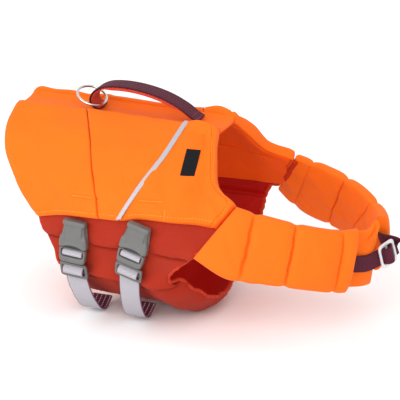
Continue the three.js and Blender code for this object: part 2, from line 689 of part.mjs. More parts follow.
const acrossSlider = () => upSlider;
const under = chestSlider.thick / 2 + 1.3;
const STRAP_DOWN = 0.55; // where the chest webbing lies on the pad, from its top edge
const onPad = (u, lift) => {
  const point = padBase(u, STRAP_DOWN);
  const along = padBase(u + 0.01, STRAP_DOWN).sub(point);
  const down = padBase(u, STRAP_DOWN + 0.01).sub(point);
  return point.addScaledVector(down.cross(along).normalize(), lift);
};
const padLift = PAD_OUT + 2.1;
const nearRoute = [onPad(0.3, padLift), onPad(0.42, padLift), onPad(0.56, padLift), onPad(0.7, padLift),
  onSlider(-sliderHalf - 2.5, -under - 0.5), onSlider(-sliderHalf + 2.6, -under - 0.3),
  onSlider(-sliderHalf / 2 - 0.2, 0), onSlider(-4.4, under + 1.4), onSlider(0, under + 3.6),
  onSlider(4.4, under + 1.4), onSlider(sliderHalf / 2 + 0.4, 0.2), onSlider(sliderHalf / 2 - 0.6, -1.6)];
addPiece('chest_strap_near', webbing(nearRoute, acrossSlider, CHEST_WEBBING, halfWall,
  minusHalfWall, 34), 'burgundy_webbing');

const tubeMouth = tubeBase(farTube)(1, STRAP_DOWN - 0.1);
const farRoute = [onSlider(sliderHalf - 1.6, -under), onSlider(sliderHalf + 4, -under + 0.6),
  new THREE.Vector3(tubeMouth.x + 9, -tubeMouth.y - 8, tubeMouth.z + 3),
  new THREE.Vector3(tubeMouth.x + 2.2, -tubeMouth.y - 0.7, tubeMouth.z + 1)];
addPiece('chest_strap_far', webbing(farRoute, acrossSlider, CHEST_WEBBING, halfWall,
  minusHalfWall, 10), 'burgundy_webbing');

export default jacket;
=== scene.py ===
# %% [markdown]
# # A dog's life jacket
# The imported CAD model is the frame: it says where each piece is and how big it is.
# Every piece below is worked out from the same named sizes as the CAD, in millimetres, and
# becomes a mesh in metres as the last step. Cloth and foam are shown by new pieces that lie
# in the space of the plain solids they stand for.

import bmesh
import bpy
import numpy as np
from mathutils import Matrix, Vector


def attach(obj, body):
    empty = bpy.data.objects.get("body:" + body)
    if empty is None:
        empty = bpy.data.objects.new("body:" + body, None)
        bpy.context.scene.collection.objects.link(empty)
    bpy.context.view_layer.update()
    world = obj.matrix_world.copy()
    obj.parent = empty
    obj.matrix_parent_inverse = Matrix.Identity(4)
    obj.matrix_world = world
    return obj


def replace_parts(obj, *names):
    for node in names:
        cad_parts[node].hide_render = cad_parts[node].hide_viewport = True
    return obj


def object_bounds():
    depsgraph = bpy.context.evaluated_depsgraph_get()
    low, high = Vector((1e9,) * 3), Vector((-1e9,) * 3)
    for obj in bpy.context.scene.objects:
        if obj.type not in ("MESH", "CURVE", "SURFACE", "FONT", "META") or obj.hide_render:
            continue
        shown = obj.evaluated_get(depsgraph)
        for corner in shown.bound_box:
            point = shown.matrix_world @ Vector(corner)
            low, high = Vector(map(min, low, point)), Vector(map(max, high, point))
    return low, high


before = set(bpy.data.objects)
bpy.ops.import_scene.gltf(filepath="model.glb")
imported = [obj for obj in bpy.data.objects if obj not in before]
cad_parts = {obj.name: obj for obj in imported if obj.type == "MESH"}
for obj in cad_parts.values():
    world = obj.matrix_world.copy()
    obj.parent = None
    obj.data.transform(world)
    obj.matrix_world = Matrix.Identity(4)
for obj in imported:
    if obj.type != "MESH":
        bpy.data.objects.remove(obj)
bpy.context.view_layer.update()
MM = 0.001
HALF_TURN = np.pi / 2
print("CAD nodes:", len(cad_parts))

# %% [markdown]
# ## Sizes of the jacket
# A pattern cutter draws a jacket from a few tables: the body's sections, the height of the hem,
# and the edges of each panel. Rows are (place, value), and a cubic eases between them, so each
# table draws a smooth line from a handful of numbers.

# %% Pattern tables
CROWN_RADIUS = 104
BELLY_DEPTH = 105
FOAM = 9
RIDGE_RISE = 2.5
SEAM_FOAM = 7.8
HEM = 3.5
NECK_FOAM = 8.5
NECK_RISE = 4
SEAM_GAP = 0.3
UNDERLAP = 24
RED_WALL = 3
LAYER_GAP = 0.9
SPINE_WALL = 5
SPINE_LIP = 4.5
SPINE_HALF = 22
WEBBING_WALL = 1.8
GATHER = 13
GATHER_SPAN = 0.22
GATHER_BULGE = 5.5
LINING_HEM = -102
LINING_STEP = 1.6
RIDGE_SPAN = 0.22
HANDLE_RIDGE = dict(x=97, half=16, rise=6.2)
PANEL_DROP = 150
HEM_STITCH, NECK_STITCH, ROLL_STITCH = 6.5, 7, 3
NECK_ROLL = 3.4
STITCH_DIP = 0.7
BUCKLE_AT = dict(rear=(-20, 0.08), front=(63, 0.27))

SECTION_HALF = [(-140, 84), (-75, 87), (-20, 102), (40, 112), (90, 117), (118, 119), (134, 119),
                (150, 114), (168, 114)]
SECTION_POWER = [(-140, 1.8), (-75, 1.8), (-20, 1.8), (40, 1.75), (90, 1.5), (118, 1.18),
                 (134, 1.12), (150, 1.2), (168, 1.25)]
HEM_HEIGHT = [(-75, -101), (-36, -91), (0, -87), (35, -84), (60, -79), (100, -78.5), (148, -80.5)]
REAR_HEM = [(0, -129), (0.3, -129.5), (0.52, -125), (0.68, -112), (0.82, -98), (0.9, -87), (1, -73)]
REAR_SEAM = [(0, -44), (0.5, -14), (0.85, 5), (1, 10.6)]
PIPING_SEAM = [(0, 80), (0.45, 72), (0.75, 54), (1, 35.5)]
NECK_EDGE = [(0, 118), (0.29, 121.5), (0.47, 127.5), (0.65, 136.5), (0.72, 148), (0.765, 161),
             (0.8, 164.5), (1, 147.4)]
RED_REAR = [(0, -84), (0.3, -75), (0.5, -67), (0.62, -59), (0.8, -51), (1, -48)]
NEAR_RED_FRONT = [(0, 155), (0.22, 150), (0.42, 138), (0.57, 126.5), (0.68, 106), (0.79, 92), (0.88, 91),
                  (1, 104)]
FAR_RED_FRONT = [(0, 155), (0.22, 150), (0.42, 136), (0.575, 121), (0.75, 117), (1, 112)]
RED_BOTTOM = -167
BELLY_REAR = [(0, -46), (0.25, -26), (0.5, -10), (0.75, -26), (1, -46)]
BELLY_FRONT = [(0, 103), (0.2, 116), (0.5, 118), (0.75, 111), (1, 111)]


def column(rows, at):
    """Value of a table at a place: a cubic through its rows, with slopes from the rows beside."""
    keys, values = np.array(rows, float).T
    at = np.asarray(at, float)
    row = np.clip(np.searchsorted(keys, at) - 1, 0, len(keys) - 2)
    width = keys[row + 1] - keys[row]
    before = np.maximum(row - 1, 0)
    after = np.minimum(row + 2, len(keys) - 1)
    start_slope = (values[row + 1] - values[before]) / (keys[row + 1] - keys[before])
    end_slope = (values[after] - values[row]) / (keys[after] - keys[row])
    t = np.clip((at - keys[row]) / width, 0, 1)
    return ((2 * t**3 - 3 * t**2 + 1) * values[row] + (t**3 - 2 * t**2 + t) * width * start_slope
            + (3 * t**2 - 2 * t**3) * values[row + 1] + (t**3 - t**2) * width * end_slope)


def torso(x, turn):
    """Point of the near side: a superellipse above the middle height, half an ellipse below."""
    half = column(SECTION_HALF, x)
    share = 2 / column(SECTION_POWER, x)
    above = np.minimum(turn, HALF_TURN)
    rise = np.clip(np.cos(above), 0, 1) ** share
    y = SPINE_HALF + SEAM_GAP + (half - SPINE_HALF - SEAM_GAP) * np.sin(above) ** share
    z = CROWN_RADIUS * (rise - 1)
    low = turn > HALF_TURN
    y = np.where(low, half * np.sin(turn), y)
    z = np.where(low, -CROWN_RADIUS + BELLY_DEPTH * np.cos(turn), z)
    return np.stack(np.broadcast_arrays(x, -y, z), -1)


def turn_at_height(x, z):
    """Turn at which the near side passes a height: the inverse of torso's formula for z."""
    below = np.arccos(np.clip((z + CROWN_RADIUS) / BELLY_DEPTH, -1, 1))
    power = column(SECTION_POWER, x)
    above = np.arccos(np.clip(1 + z / CROWN_RADIUS, 0, 1) ** (power / 2))
    return np.where(z < -CROWN_RADIUS, below, above)


def lerp(a, b, t):
    return a + (b - a) * t


def smooth(t, low, high):
    """0 up to low, 1 from high, eased between."""
    t = np.clip((t - low) / (high - low), 0, 1)
    return t * t * (3 - 2 * t)


def swell(t, start_share, end_share):
    """A quarter circle up from each edge of a span and level between them."""
    rise = np.minimum(t / start_share, 1) if start_share else np.ones_like(t)
    fall = np.minimum((1 - t) / end_share, 1) if end_share else np.ones_like(t)
    least = np.clip(np.minimum(rise, fall), 0, 1)
    return np.sqrt(1 - (1 - least) ** 2)


print("hem at mid back:", round(float(column(HEM_HEIGHT, 0)), 1), "mm")

# %% [markdown]
# ## Making a mesh from a grid
# A panel has an outer face, an inner face and a rounded rim. Both faces are one grid of points
# each, pushed along the surface's normal, and they share the points of the rim. The thickness
# follows a quarter circle near the rim, so the edge is round with no extra faces.
# A modifier could give a thickness too, but it can't make foam that thins towards its seams.

# %% Surface helpers
GARMENT = "garment"


def steps(count, length, rim=2.0):
    """Places from 0 to 1 along a span: crowded where the rim rounds, even between."""
    near = rim / length * (1 - np.cos(np.linspace(0, HALF_TURN, 6)))
    return np.concatenate([near[:-1], np.linspace(near[-1], 1 - near[-1], count), 1 - near[-2::-1]])


def run_lengths(points, axis):
    """Distance along a grid from its first row or column, step by step."""
    hops = np.linalg.norm(np.diff(points, axis=axis), axis=-1)
    start = np.zeros_like(np.take(hops, [0], axis=axis))
    return np.concatenate([start, np.cumsum(hops, axis=axis)], axis=axis)


def surface(base, u, v, step=1e-3):
    """Points of a surface, and normals from the cross product of its two slopes."""
    point = base(u, v)
    du = base(np.minimum(u + step, 1), v) - base(np.maximum(u - step, 0), v)
    dv = base(u, np.minimum(v + step, 1)) - base(u, np.maximum(v - step, 0))
    normal = np.cross(dv, du)
    return point, normal / np.linalg.norm(normal, axis=-1, keepdims=True)


def grid_faces(ids):
    """Four-sided faces between the neighbours of a grid of point numbers."""
    return np.stack([ids[:-1, :-1], ids[:-1, 1:], ids[1:, 1:], ids[1:, :-1]], -1).reshape(-1, 4)


print("places over 100 mm:", len(steps(50, 100)))

# %% [markdown]
# Every piece ends as one closed mesh. Its UV map is the distance along and across the cloth, and
# its faces are turned outward by Blender's own operator, so no piece has to care which way its
# grid runs. A panel is a shell of two grids; a strap, ring or cord is a section carried on a line.

# %% Mesh helpers
def add_piece(name, points, faces, uv, finishes, face_finish=None, body=GARMENT, mirror=False):
    """A mesh object in metres, with uv in metres too, its faces turned outward."""
    points = np.asarray(points, float) * MM
    if mirror:
        points = points * (1, -1, 1)
    mesh = bpy.data.meshes.new(name)
    mesh.from_pydata(points.tolist(), [], [list(face) for face in faces])
    finishes = finishes if isinstance(finishes, (list, tuple)) else [finishes]
    for finish in finishes:
        mesh.materials.append(finish)
    if face_finish is not None:
        mesh.polygons.foreach_set("material_index", np.asarray(face_finish, np.int32))
    shape = bmesh.new()
    shape.from_mesh(mesh)
    bmesh.ops.recalc_face_normals(shape, faces=shape.faces[:])
    shape.to_mesh(mesh)
    shape.free()
    layer = mesh.uv_layers.new(name="UVMap")
    corner = np.empty(len(mesh.loops), np.int32)
    mesh.loops.foreach_get("vertex_index", corner)
    layer.data.foreach_set("uv", (np.asarray(uv, float) * MM)[corner].astype(np.float32).ravel())
    mesh.polygons.foreach_set("use_smooth", np.ones(len(mesh.polygons), bool))
    piece = bpy.data.objects.new(name, mesh)
    bpy.context.scene.collection.objects.link(piece)
    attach(piece, body)
    return piece


def shell(name, base, us, vs, outer, inner, finishes, rims=(2, 2, 2, 2), mirror=False, paint=None):
    """A closed wall on a surface. outer and inner give the offset of each face at (u, v, point);
    rims are the rounding at the start and end of u, then of v. The inner face takes the second
    finish, or the one that paint(u, v, point) gives for its corners' middle."""
    u, v = np.meshgrid(us, vs, indexing="ij")
    point, normal = surface(base, u, v)
    along, down = run_lengths(point, 0), run_lengths(point, 1)
    edges = [along / rims[0], (along[-1:] - along) / rims[1], down / rims[2],
             (down[:, -1:] - down) / rims[3]]
    full = np.sqrt(1 - (1 - np.clip(np.minimum.reduce(edges), 0, 1)) ** 2)
    high, low = outer(u, v, point), inner(u, v, point)
    middle = (high + low) / 2
    top = point + normal * (middle + (high - middle) * full)[..., None]
    under = point + normal * (middle + (low - middle) * full)[..., None]
    rows, cols = u.shape
    top_ids = np.arange(rows * cols).reshape(rows, cols)
    under_ids = top_ids.copy()
    under_ids[1:-1, 1:-1] = rows * cols + np.arange((rows - 2) * (cols - 2)).reshape(rows - 2, cols - 2)
    points = np.concatenate([top.reshape(-1, 3), under[1:-1, 1:-1].reshape(-1, 3)])
    flat = np.stack([along, down], -1)
    uv = np.concatenate([flat.reshape(-1, 2), flat[1:-1, 1:-1].reshape(-1, 2)])
    faces = np.concatenate([grid_faces(top_ids), grid_faces(under_ids)[:, ::-1]])
    side = np.repeat([0, 1], len(faces) // 2) if isinstance(finishes, list) else None
    if paint is not None:
        all_u, all_v = (np.concatenate([grid.ravel(), grid[1:-1, 1:-1].ravel()]) for grid in (u, v))
        picked = paint(all_u[faces].mean(1), all_v[faces].mean(1), points[faces].mean(1))
        side = np.where(side == 1, picked, side)
    return add_piece(name, points, faces, uv, finishes, side, mirror=mirror)


def route_through(points, count):
    """A smooth line through points, the centripetal Catmull-Rom curve, in even steps."""
    knots = np.array(points, float)
    knots = np.concatenate([[2 * knots[0] - knots[1]], knots, [2 * knots[-1] - knots[-2]]])
    t = np.linspace(0, 1, 24, endpoint=False)[:, None]
    line = []
    for p0, p1, p2, p3 in zip(knots[:-3], knots[1:-2], knots[2:-1], knots[3:]):
        d0, d1, d2 = (np.linalg.norm(b - a) ** 0.5 for a, b in ((p0, p1), (p1, p2), (p2, p3)))
        start = ((p1 - p0) / d0 - (p2 - p0) / (d0 + d1) + (p2 - p1) / d1) * d1
        end = ((p2 - p1) / d1 - (p3 - p1) / (d1 + d2) + (p3 - p2) / d2) * d1
        line.append(p1 + start * t + (3 * (p2 - p1) - 2 * start - end) * t**2
                    + (2 * (p1 - p2) + start + end) * t**3)
    line = np.concatenate(line + [knots[-2:-1]])
    reach = run_lengths(line, 0)
    even = np.linspace(0, reach[-1], count)
    return np.stack([np.interp(even, reach, line[:, k]) for k in range(3)], -1)


def sweep(name, path, across, half_width, half_thick, finishes, power=2.4, around=16, round_end=0.0,
          lift=0.0, mirror=False, body=GARMENT, closed=False):
    """A superellipse carried along a path: |a/width|^power + |b/thickness|^power = 1.
    With two finishes the second is on the inner half, and round_end is how far the ends taper."""
    path = np.asarray(path, float)
    ahead = np.roll(path, -1, 0) - np.roll(path, 1, 0) if closed else np.gradient(path, axis=0)
    ahead /= np.linalg.norm(ahead, axis=1, keepdims=True)
    across = np.broadcast_to(np.asarray(across, float), path.shape)
    out = np.cross(ahead, across)
    out /= np.linalg.norm(out, axis=1, keepdims=True)
    across = np.cross(out, ahead)
    reach = run_lengths(path, 0)
    full = np.ones(len(path))
    if round_end:
        ends = np.clip(np.minimum(reach, reach[-1] - reach) / round_end, 0, 1)
        full = np.maximum(np.sqrt(1 - (1 - ends) ** 2), 0.04)
    angle = np.linspace(0, 2 * np.pi, around, endpoint=False) + np.pi / around
    c, s = np.cos(angle), np.sin(angle)
    a = np.sign(c) * abs(c) ** (2 / power)
    b = np.sign(s) * abs(s) ** (2 / power)
    wide = (np.ones(len(path)) * half_width * full)[:, None] * a
    thick = (np.ones(len(path)) * half_thick * full)[:, None] * b
    points = (path[:, None] + wide[..., None] * across[:, None]
              + (thick + np.broadcast_to(lift, len(path))[:, None])[..., None] * out[:, None])
    ids = np.arange(points.size // 3).reshape(len(path), around)
    loop = np.concatenate([ids, ids[:, :1]], 1)
    if closed:
        loop = np.concatenate([loop, loop[:1]])
    faces = grid_faces(loop).tolist()
    side = np.tile(np.where(np.sin(angle + np.pi / around) > 0, 0, 1), len(loop) - 1)
    if not closed:
        faces += [ids[0].tolist(), ids[-1, ::-1].tolist()]
        side = np.concatenate([side, [0, 0]])
    uv = np.stack(np.broadcast_arrays(reach[:, None], wide), -1).reshape(-1, 2)
    side = side if isinstance(finishes, list) else None
    return add_piece(name, points.reshape(-1, 3), faces, uv, finishes, side, body=body, mirror=mirror)


# %% [markdown]
# Stitches are real rolls of thread, as a bump can't throw a shadow. Each one is a short tube of
# six sides that dives into the cloth at both ends, and a whole row is one mesh.

# %% Stitches
def stitches(name, line, normal, thread, length=2.6, gap=1.3, wide=0.6, high=0.3, zigzag=0.0,
             mirror=False):
    """A row of separate stitches on a line: short rolls of thread that dive in at both ends.
    zigzag turns each one to the other side, as the sine of its angle."""
    reach = run_lengths(line, 0)
    count = max(int(reach[-1] / (length + gap)), 2)
    middle = (np.arange(count) + 0.5) * reach[-1] / count
    centre, after, out = (np.stack([np.interp(at, reach, rows[:, k]) for k in range(3)], -1)
                          for at, rows in ((middle, line), (middle + 0.3, line), (middle, normal)))
    ahead = after - centre
    ahead /= np.maximum(np.linalg.norm(ahead, axis=1, keepdims=True), 1e-9)
    aside = np.cross(out, ahead)
    way = np.where(np.arange(count) % 2, 1, -1)[:, None]
    turned = ahead * (1 - zigzag**2) ** 0.5 + aside * zigzag * way
    aside = np.cross(out, turned)
    along = np.array([-0.5, -0.32, 0, 0.32, 0.5])[:, None] * length
    full = np.array([0.3, 0.85, 1, 0.85, 0.3])[:, None]
    angle = np.linspace(0, 2 * np.pi, 6, endpoint=False)
    wide_by, high_by = full * np.cos(angle) * wide / 2, full * np.sin(angle) * high
    points = (centre[:, None, None] + along[..., None] * turned[:, None, None]
              + wide_by[..., None] * aside[:, None, None] + high_by[..., None] * out[:, None, None])
    ids = np.arange(30).reshape(5, 6)
    one = grid_faces(np.concatenate([ids, ids[:, :1]], 1)).tolist()
    one += [ids[0].tolist(), ids[-1, ::-1].tolist()]
    faces = [[corner + 30 * k for corner in face] for k in range(count) for face in one]
    uv = np.stack(np.broadcast_arrays(along, wide_by), -1).reshape(-1, 2)
    return add_piece(name, points.reshape(-1, 3), faces, np.tile(uv, (count, 1)), thread, mirror=mirror)


def stitch_row(name, base, height, us, vs, thread, slot, mirror=False, **size):
    """Stitches over a run of places on a panel, laid on its outer face."""
    u, v = np.broadcast_arrays(np.asarray(us, float), np.asarray(vs, float))
    point, normal = surface(base, u, v)
    line = point + normal * (height(u, v, point) + 0.05)[..., None]
    stitches(name, line, normal, thread, mirror=mirror, **size)


# %% [markdown]
# ## Uneven cloth
# Sewn cloth is never level. Two small functions give a panel its life: slow ripples with no
# pattern to them, and single creases laid where the real jacket has them.

# %% Ripples and creases
def ripple(point, size, seed, shortest=26, longest=80):
    """Slow rise and fall: the mean of six sine waves in fixed random directions."""
    numbers = np.random.default_rng(seed)
    total = 0
    for _ in range(6):
        way = numbers.normal(size=3)
        way /= np.linalg.norm(way)
        length = numbers.uniform(shortest, longest)
        total = total + np.sin(point @ way * 2 * np.pi / length + numbers.uniform(0, 2 * np.pi))
    return size * total / 2.4


def beside(point, start, end):
    """Signed distance above a line in the side view (x, z), and the share along it."""
    a, b = np.array(start, float), np.array(end, float)
    way = b - a
    length = np.linalg.norm(way)
    rel = point[..., [0, 2]] - a
    share = rel @ way / length**2
    above = (way[0] * rel[..., 1] - way[1] * rel[..., 0]) / length
    return above, share


def crease(point, start, end, width, depth):
    """A soft fold: a bell across the line, fading out towards both its ends."""
    above, share = beside(point, start, end)
    fade = np.sqrt(np.clip(4 * share * (1 - share), 0, 1))
    return depth * np.exp(-((above / width) ** 2)) * fade


def tuck(point, start, end, width, depth, edge=1.6):
    """Cloth that bulges over a fold: a slow rise from above, a short drop just under the line."""
    above, share = beside(point, start, end)
    fade = smooth(share, -0.08, 0.12) * (1 - smooth(share, 0.9, 1.1))
    upper = np.exp(-((above / width) ** 2))
    lower = np.exp(-((above / edge) ** 2))
    dip = 0.8 * np.exp(-(((above + 2.4 * edge) / (1.7 * edge)) ** 2))
    return depth * fade * (np.where(above > 0, upper, lower) - dip)


# %% [markdown]
# ## Finishes
# Nylon pack cloth is a fine plain weave with a dull sheen, webbing is a coarse ribbed weave,
# and the fittings are moulded plastic and bright metal. Weaves follow the piece's own UV map,
# which is in metres, so a thread is the same size on every piece.

# %% Material helpers
def srgb(red, green, blue):
    """A colour as linear light, from its 0 to 255 values."""
    c = np.array([red, green, blue]) / 255
    return (*np.where(c <= 0.04045, c / 12.92, ((c + 0.055) / 1.055) ** 2.4), 1.0)


class Finish:
    """A new material with short ways to add its nodes."""

    def __init__(self, name, roughness, metallic=0.0):
        self.material = bpy.data.materials.new(name)
        self.material.use_nodes = True
        self.tree = self.material.node_tree
        self.shader = self.tree.nodes["Principled BSDF"]
        self.shader.inputs["Roughness"].default_value = roughness
        self.shader.inputs["Metallic"].default_value = metallic

    def node(self, kind, **settings):
        node = self.tree.nodes.new(kind)
        for key, value in settings.items():
            setattr(node, key, value)
        return node

    def join(self, value, socket):
        """Links a node's output to a socket, or sets the socket's own value."""
        if isinstance(value, bpy.types.NodeSocket):
            self.tree.links.new(value, socket)
        else:
            socket.default_value = value

    def maths(self, operation, first, second=0.0, third=0.0):
        node = self.node("ShaderNodeMath", operation=operation)
        for value, socket in zip((first, second, third), node.inputs):
            self.join(value, socket)
        return node.outputs[0]

    def noise(self, scale, detail=3.0):
        """Cloudy values from 0 to 1 over the object's own space; scale is per metre."""
        place = self.node("ShaderNodeTexCoord").outputs["Object"]
        node = self.node("ShaderNodeTexNoise")
        node.inputs["Scale"].default_value = scale
        node.inputs["Detail"].default_value = detail
        self.join(place, node.inputs["Vector"])
        return node.outputs["Fac"]

    def flat(self):
        """The piece's UV map as its two distances in metres."""
        place = self.node("ShaderNodeUVMap", uv_map="UVMap").outputs["UV"]
        split = self.node("ShaderNodeSeparateXYZ")
        self.join(place, split.inputs[0])
        return split.outputs[0], split.outputs[1]

    def threads(self, distance, pitch):
        """A row of round threads: the size of a sine along the distance."""
        return self.maths("ABSOLUTE", self.maths("SINE", self.maths("MULTIPLY", distance, np.pi / pitch)))

    def mix(self, share, first, second):
        node = self.node("ShaderNodeMix", data_type="RGBA")
        self.join(share, node.inputs["Factor"])
        self.join(first, node.inputs["A"])
        self.join(second, node.inputs["B"])
        return node.outputs["Result"]

    def bump(self, height, distance, strength=1.0, under=None):
        node = self.node("ShaderNodeBump")
        node.inputs["Distance"].default_value = distance
        node.inputs["Strength"].default_value = strength
        self.join(height, node.inputs["Height"])
        if under is not None:
            self.join(under, node.inputs["Normal"])
        return node.outputs["Normal"]


def darker(colour, share):
    return (*(share * c for c in colour[:3]), 1.0)


def pack_cloth(name, colour, thread=0.0007, roughness=0.75, sheen=0.03, shade=0.86, crumple=0.0011):
    """Plain weave: threads both ways over a faint crumple, its colour slightly uneven."""
    made = Finish(name, roughness)
    u, v = made.flat()
    weave = made.maths("MULTIPLY", made.threads(u, thread), made.threads(v, thread))
    cloud = made.noise(22, 4)
    worn = made.mix(cloud, darker(colour, shade), colour)
    # Thread crowns a little lighter: painted highlight on the weave.
    crowns_highlit = made.mix(made.maths("MULTIPLY", weave, 0.22), worn, darker(colour, 1.12))
    made.join(crowns_highlit, made.shader.inputs["Base Color"])
    soft = made.bump(made.noise(48, 5), crumple)
    made.join(made.bump(weave, 0.0001, 0.6, soft), made.shader.inputs["Normal"])
    made.shader.inputs["Sheen Weight"].default_value = sheen
    made.shader.inputs["Sheen Roughness"].default_value = 0.45
    made.shader.inputs["Specular IOR Level"].default_value = 0.22
    return made.material


def ribbed_webbing(name, colour, edge_colour, half_width, edge, rib=0.0019, roughness=0.75, rows=None):
    """Webbing: raised ribs across it, yarns along it, and edges in their own colour. rows is a
    pale colour for lines of binder stitches along it."""
    made = Finish(name, roughness)
    along, across = made.flat()
    slanted = made.maths("ADD", along, made.maths("MULTIPLY", across, 0.25))
    ribs = made.threads(slanted, rib)
    yarns = made.threads(across, 0.0013)
    weave = made.maths("ADD", made.maths("MULTIPLY", ribs, 0.7), made.maths("MULTIPLY", yarns, 0.3))
    at_edge = made.maths("GREATER_THAN", made.maths("ABSOLUTE", across), half_width - edge)
    # Darker in the rib hollows and lighter on the crowns: painted shade and painted highlight of the ribs.
    plain = made.mix(weave, darker(colour, 0.45), darker(colour, 1.2))
    if rows:
        on_row = made.maths("LESS_THAN", made.threads(across, 0.0052), 0.34)
        on_stitch = made.maths("GREATER_THAN", made.threads(along, 0.0026), 0.6)
        plain = made.mix(made.maths("MULTIPLY", on_row, on_stitch), plain, rows)
    # The edges too: painted shade in the hollows, painted highlight on the crowns.
    border = made.mix(weave, darker(edge_colour, 0.6), edge_colour)
    body = made.mix(at_edge, plain, border)
    made.join(made.mix(made.maths("MULTIPLY", made.noise(60, 3), 0.25), body, darker(colour, 0.7)),
              made.shader.inputs["Base Color"])
    made.join(made.bump(weave, 0.0005, 0.9), made.shader.inputs["Normal"])
    made.shader.inputs["Specular IOR Level"].default_value = 0.3
    return made.material


def moulded_plastic(name, colour, roughness=0.42):
    """Injection-moulded plastic: an even colour, fine grain, and faint random patches of tone and gloss."""
    made = Finish(name, roughness)
    cloud = made.noise(90, 4)
    made.join(made.mix(cloud, darker(colour, 0.88), darker(colour, 1.08)),
              made.shader.inputs["Base Color"])
    made.join(made.maths("MULTIPLY_ADD", cloud, 0.2, roughness - 0.1), made.shader.inputs["Roughness"])
    made.join(made.bump(made.noise(1400, 2), 0.00006), made.shader.inputs["Normal"])
    return made.material


def bright_metal(name, colour, roughness, metallic=1.0):
    """Plated steel or die-cast metal, with faint polishing marks."""
    made = Finish(name, roughness, metallic)
    cloud = made.noise(300, 4)
    made.join(made.mix(cloud, darker(colour, 0.9), colour), made.shader.inputs["Base Color"])
    made.join(made.maths("MULTIPLY_ADD", cloud, 0.15, roughness - 0.05),
              made.shader.inputs["Roughness"])
    return made.material


# %% [markdown]
# Colours are the cloth's own, as it would look in even daylight, but for painted light: the inside
# copies of each cloth, the fold cloth and the roll thread are darker for painted shade, and the
# orange thread and the weave carry painted highlight.

# %% Finishes of this jacket
ORANGE = srgb(244, 107, 8)
RED = srgb(162, 38, 13)
BURGUNDY = srgb(74, 13, 33)
PALE_GREY = srgb(182, 178, 186)

orange_cloth = pack_cloth("orange_nylon", ORANGE)
# A darker, redder copy of the orange for the inside faces: painted shade of the jacket's hollow.
orange_lining_painted_shade = pack_cloth("orange_lining_painted_shade", srgb(240, 88, 2), roughness=0.8, sheen=0)
red_cloth = pack_cloth("red_nylon", RED, shade=0.82)
# A darker copy of the red for the inner faces: painted shade.
red_shade = pack_cloth("red_inside_painted_shade", srgb(176, 14, 2), shade=0.8, sheen=0)
red_lining = pack_cloth("red_lining", srgb(196, 56, 32), thread=0.0012)
red_binding = pack_cloth("red_binding", srgb(186, 50, 18), thread=0.0009, crumple=0.0008)
black_cloth = pack_cloth("black_patch", srgb(14, 14, 17), thread=0.0005, sheen=0.0, roughness=0.8)
handle_webbing = ribbed_webbing("burgundy_handle", BURGUNDY, BURGUNDY, 0.012, 0.0015, rib=0.0024,
                                 rows=srgb(138, 62, 84))
burgundy_webbing = ribbed_webbing("burgundy_webbing", srgb(82, 17, 40), BURGUNDY, 0.010, 0.001,
                                  rib=0.0024)
belly_outside = ribbed_webbing("belly_webbing_outside", PALE_GREY, srgb(110, 70, 90), 0.0125, 0.001,
                               rib=0.0013)
belly_inside = ribbed_webbing("belly_webbing_inside", srgb(92, 20, 46), srgb(120, 70, 92), 0.0125, 0.001,
                              rib=0.0023, rows=srgb(206, 190, 200))
grey_plastic = moulded_plastic("grey_plastic", srgb(97, 97, 95))
steel = bright_metal("steel", srgb(206, 204, 202), 0.16)
cast_metal = bright_metal("cast_metal", srgb(222, 221, 223), 0.3, 0.35)
reflective = bright_metal("reflective_tape", srgb(176, 171, 175), 0.45, 0.2)
# A lighter orange than the cloth: the thread's own tone and painted highlight on the raised stitches.
orange_thread_highlit = pack_cloth("orange_thread_highlit", srgb(255, 170, 62), thread=0.0004)
red_thread = pack_cloth("red_thread", srgb(226, 96, 78), thread=0.0004)
# A dark thread for the row in the groove inside the neck roll: painted shadow of the groove.
painted_shadow_thread = pack_cloth("painted_shadow_thread", srgb(150, 36, 0), thread=0.0004, sheen=0)
# A darker orange for the deep fold at each tube's root: painted shade.
fold_painted_shade = pack_cloth("fold_painted_shade", srgb(186, 44, 2), roughness=0.8, sheen=0)
grey_thread = pack_cloth("grey_thread", srgb(176, 172, 178), thread=0.0004)
wine_thread = pack_cloth("wine_thread", srgb(140, 66, 86), thread=0.0004)
print("finishes:", len(bpy.data.materials))

# %% [markdown]
# ## Foam back panels
# Each side of the back is three panels of closed-cell foam in a nylon cover, sewn edge to edge.
# They could be modelled flat and bent, but the body's shape is already a function of station
# and turn, so each panel is a patch of it between two seam lines, with a wall of foam.

# %% Back panels
def back_base(rear, front):
    def base(u, v):
        x = lerp(column(rear, v), column(front, v), u)
        return torso(x, v * turn_at_height(x, column(HEM_HEIGHT, x)))
    return base


def moved(rows, by):
    return [(place, value + by) for place, value in rows]


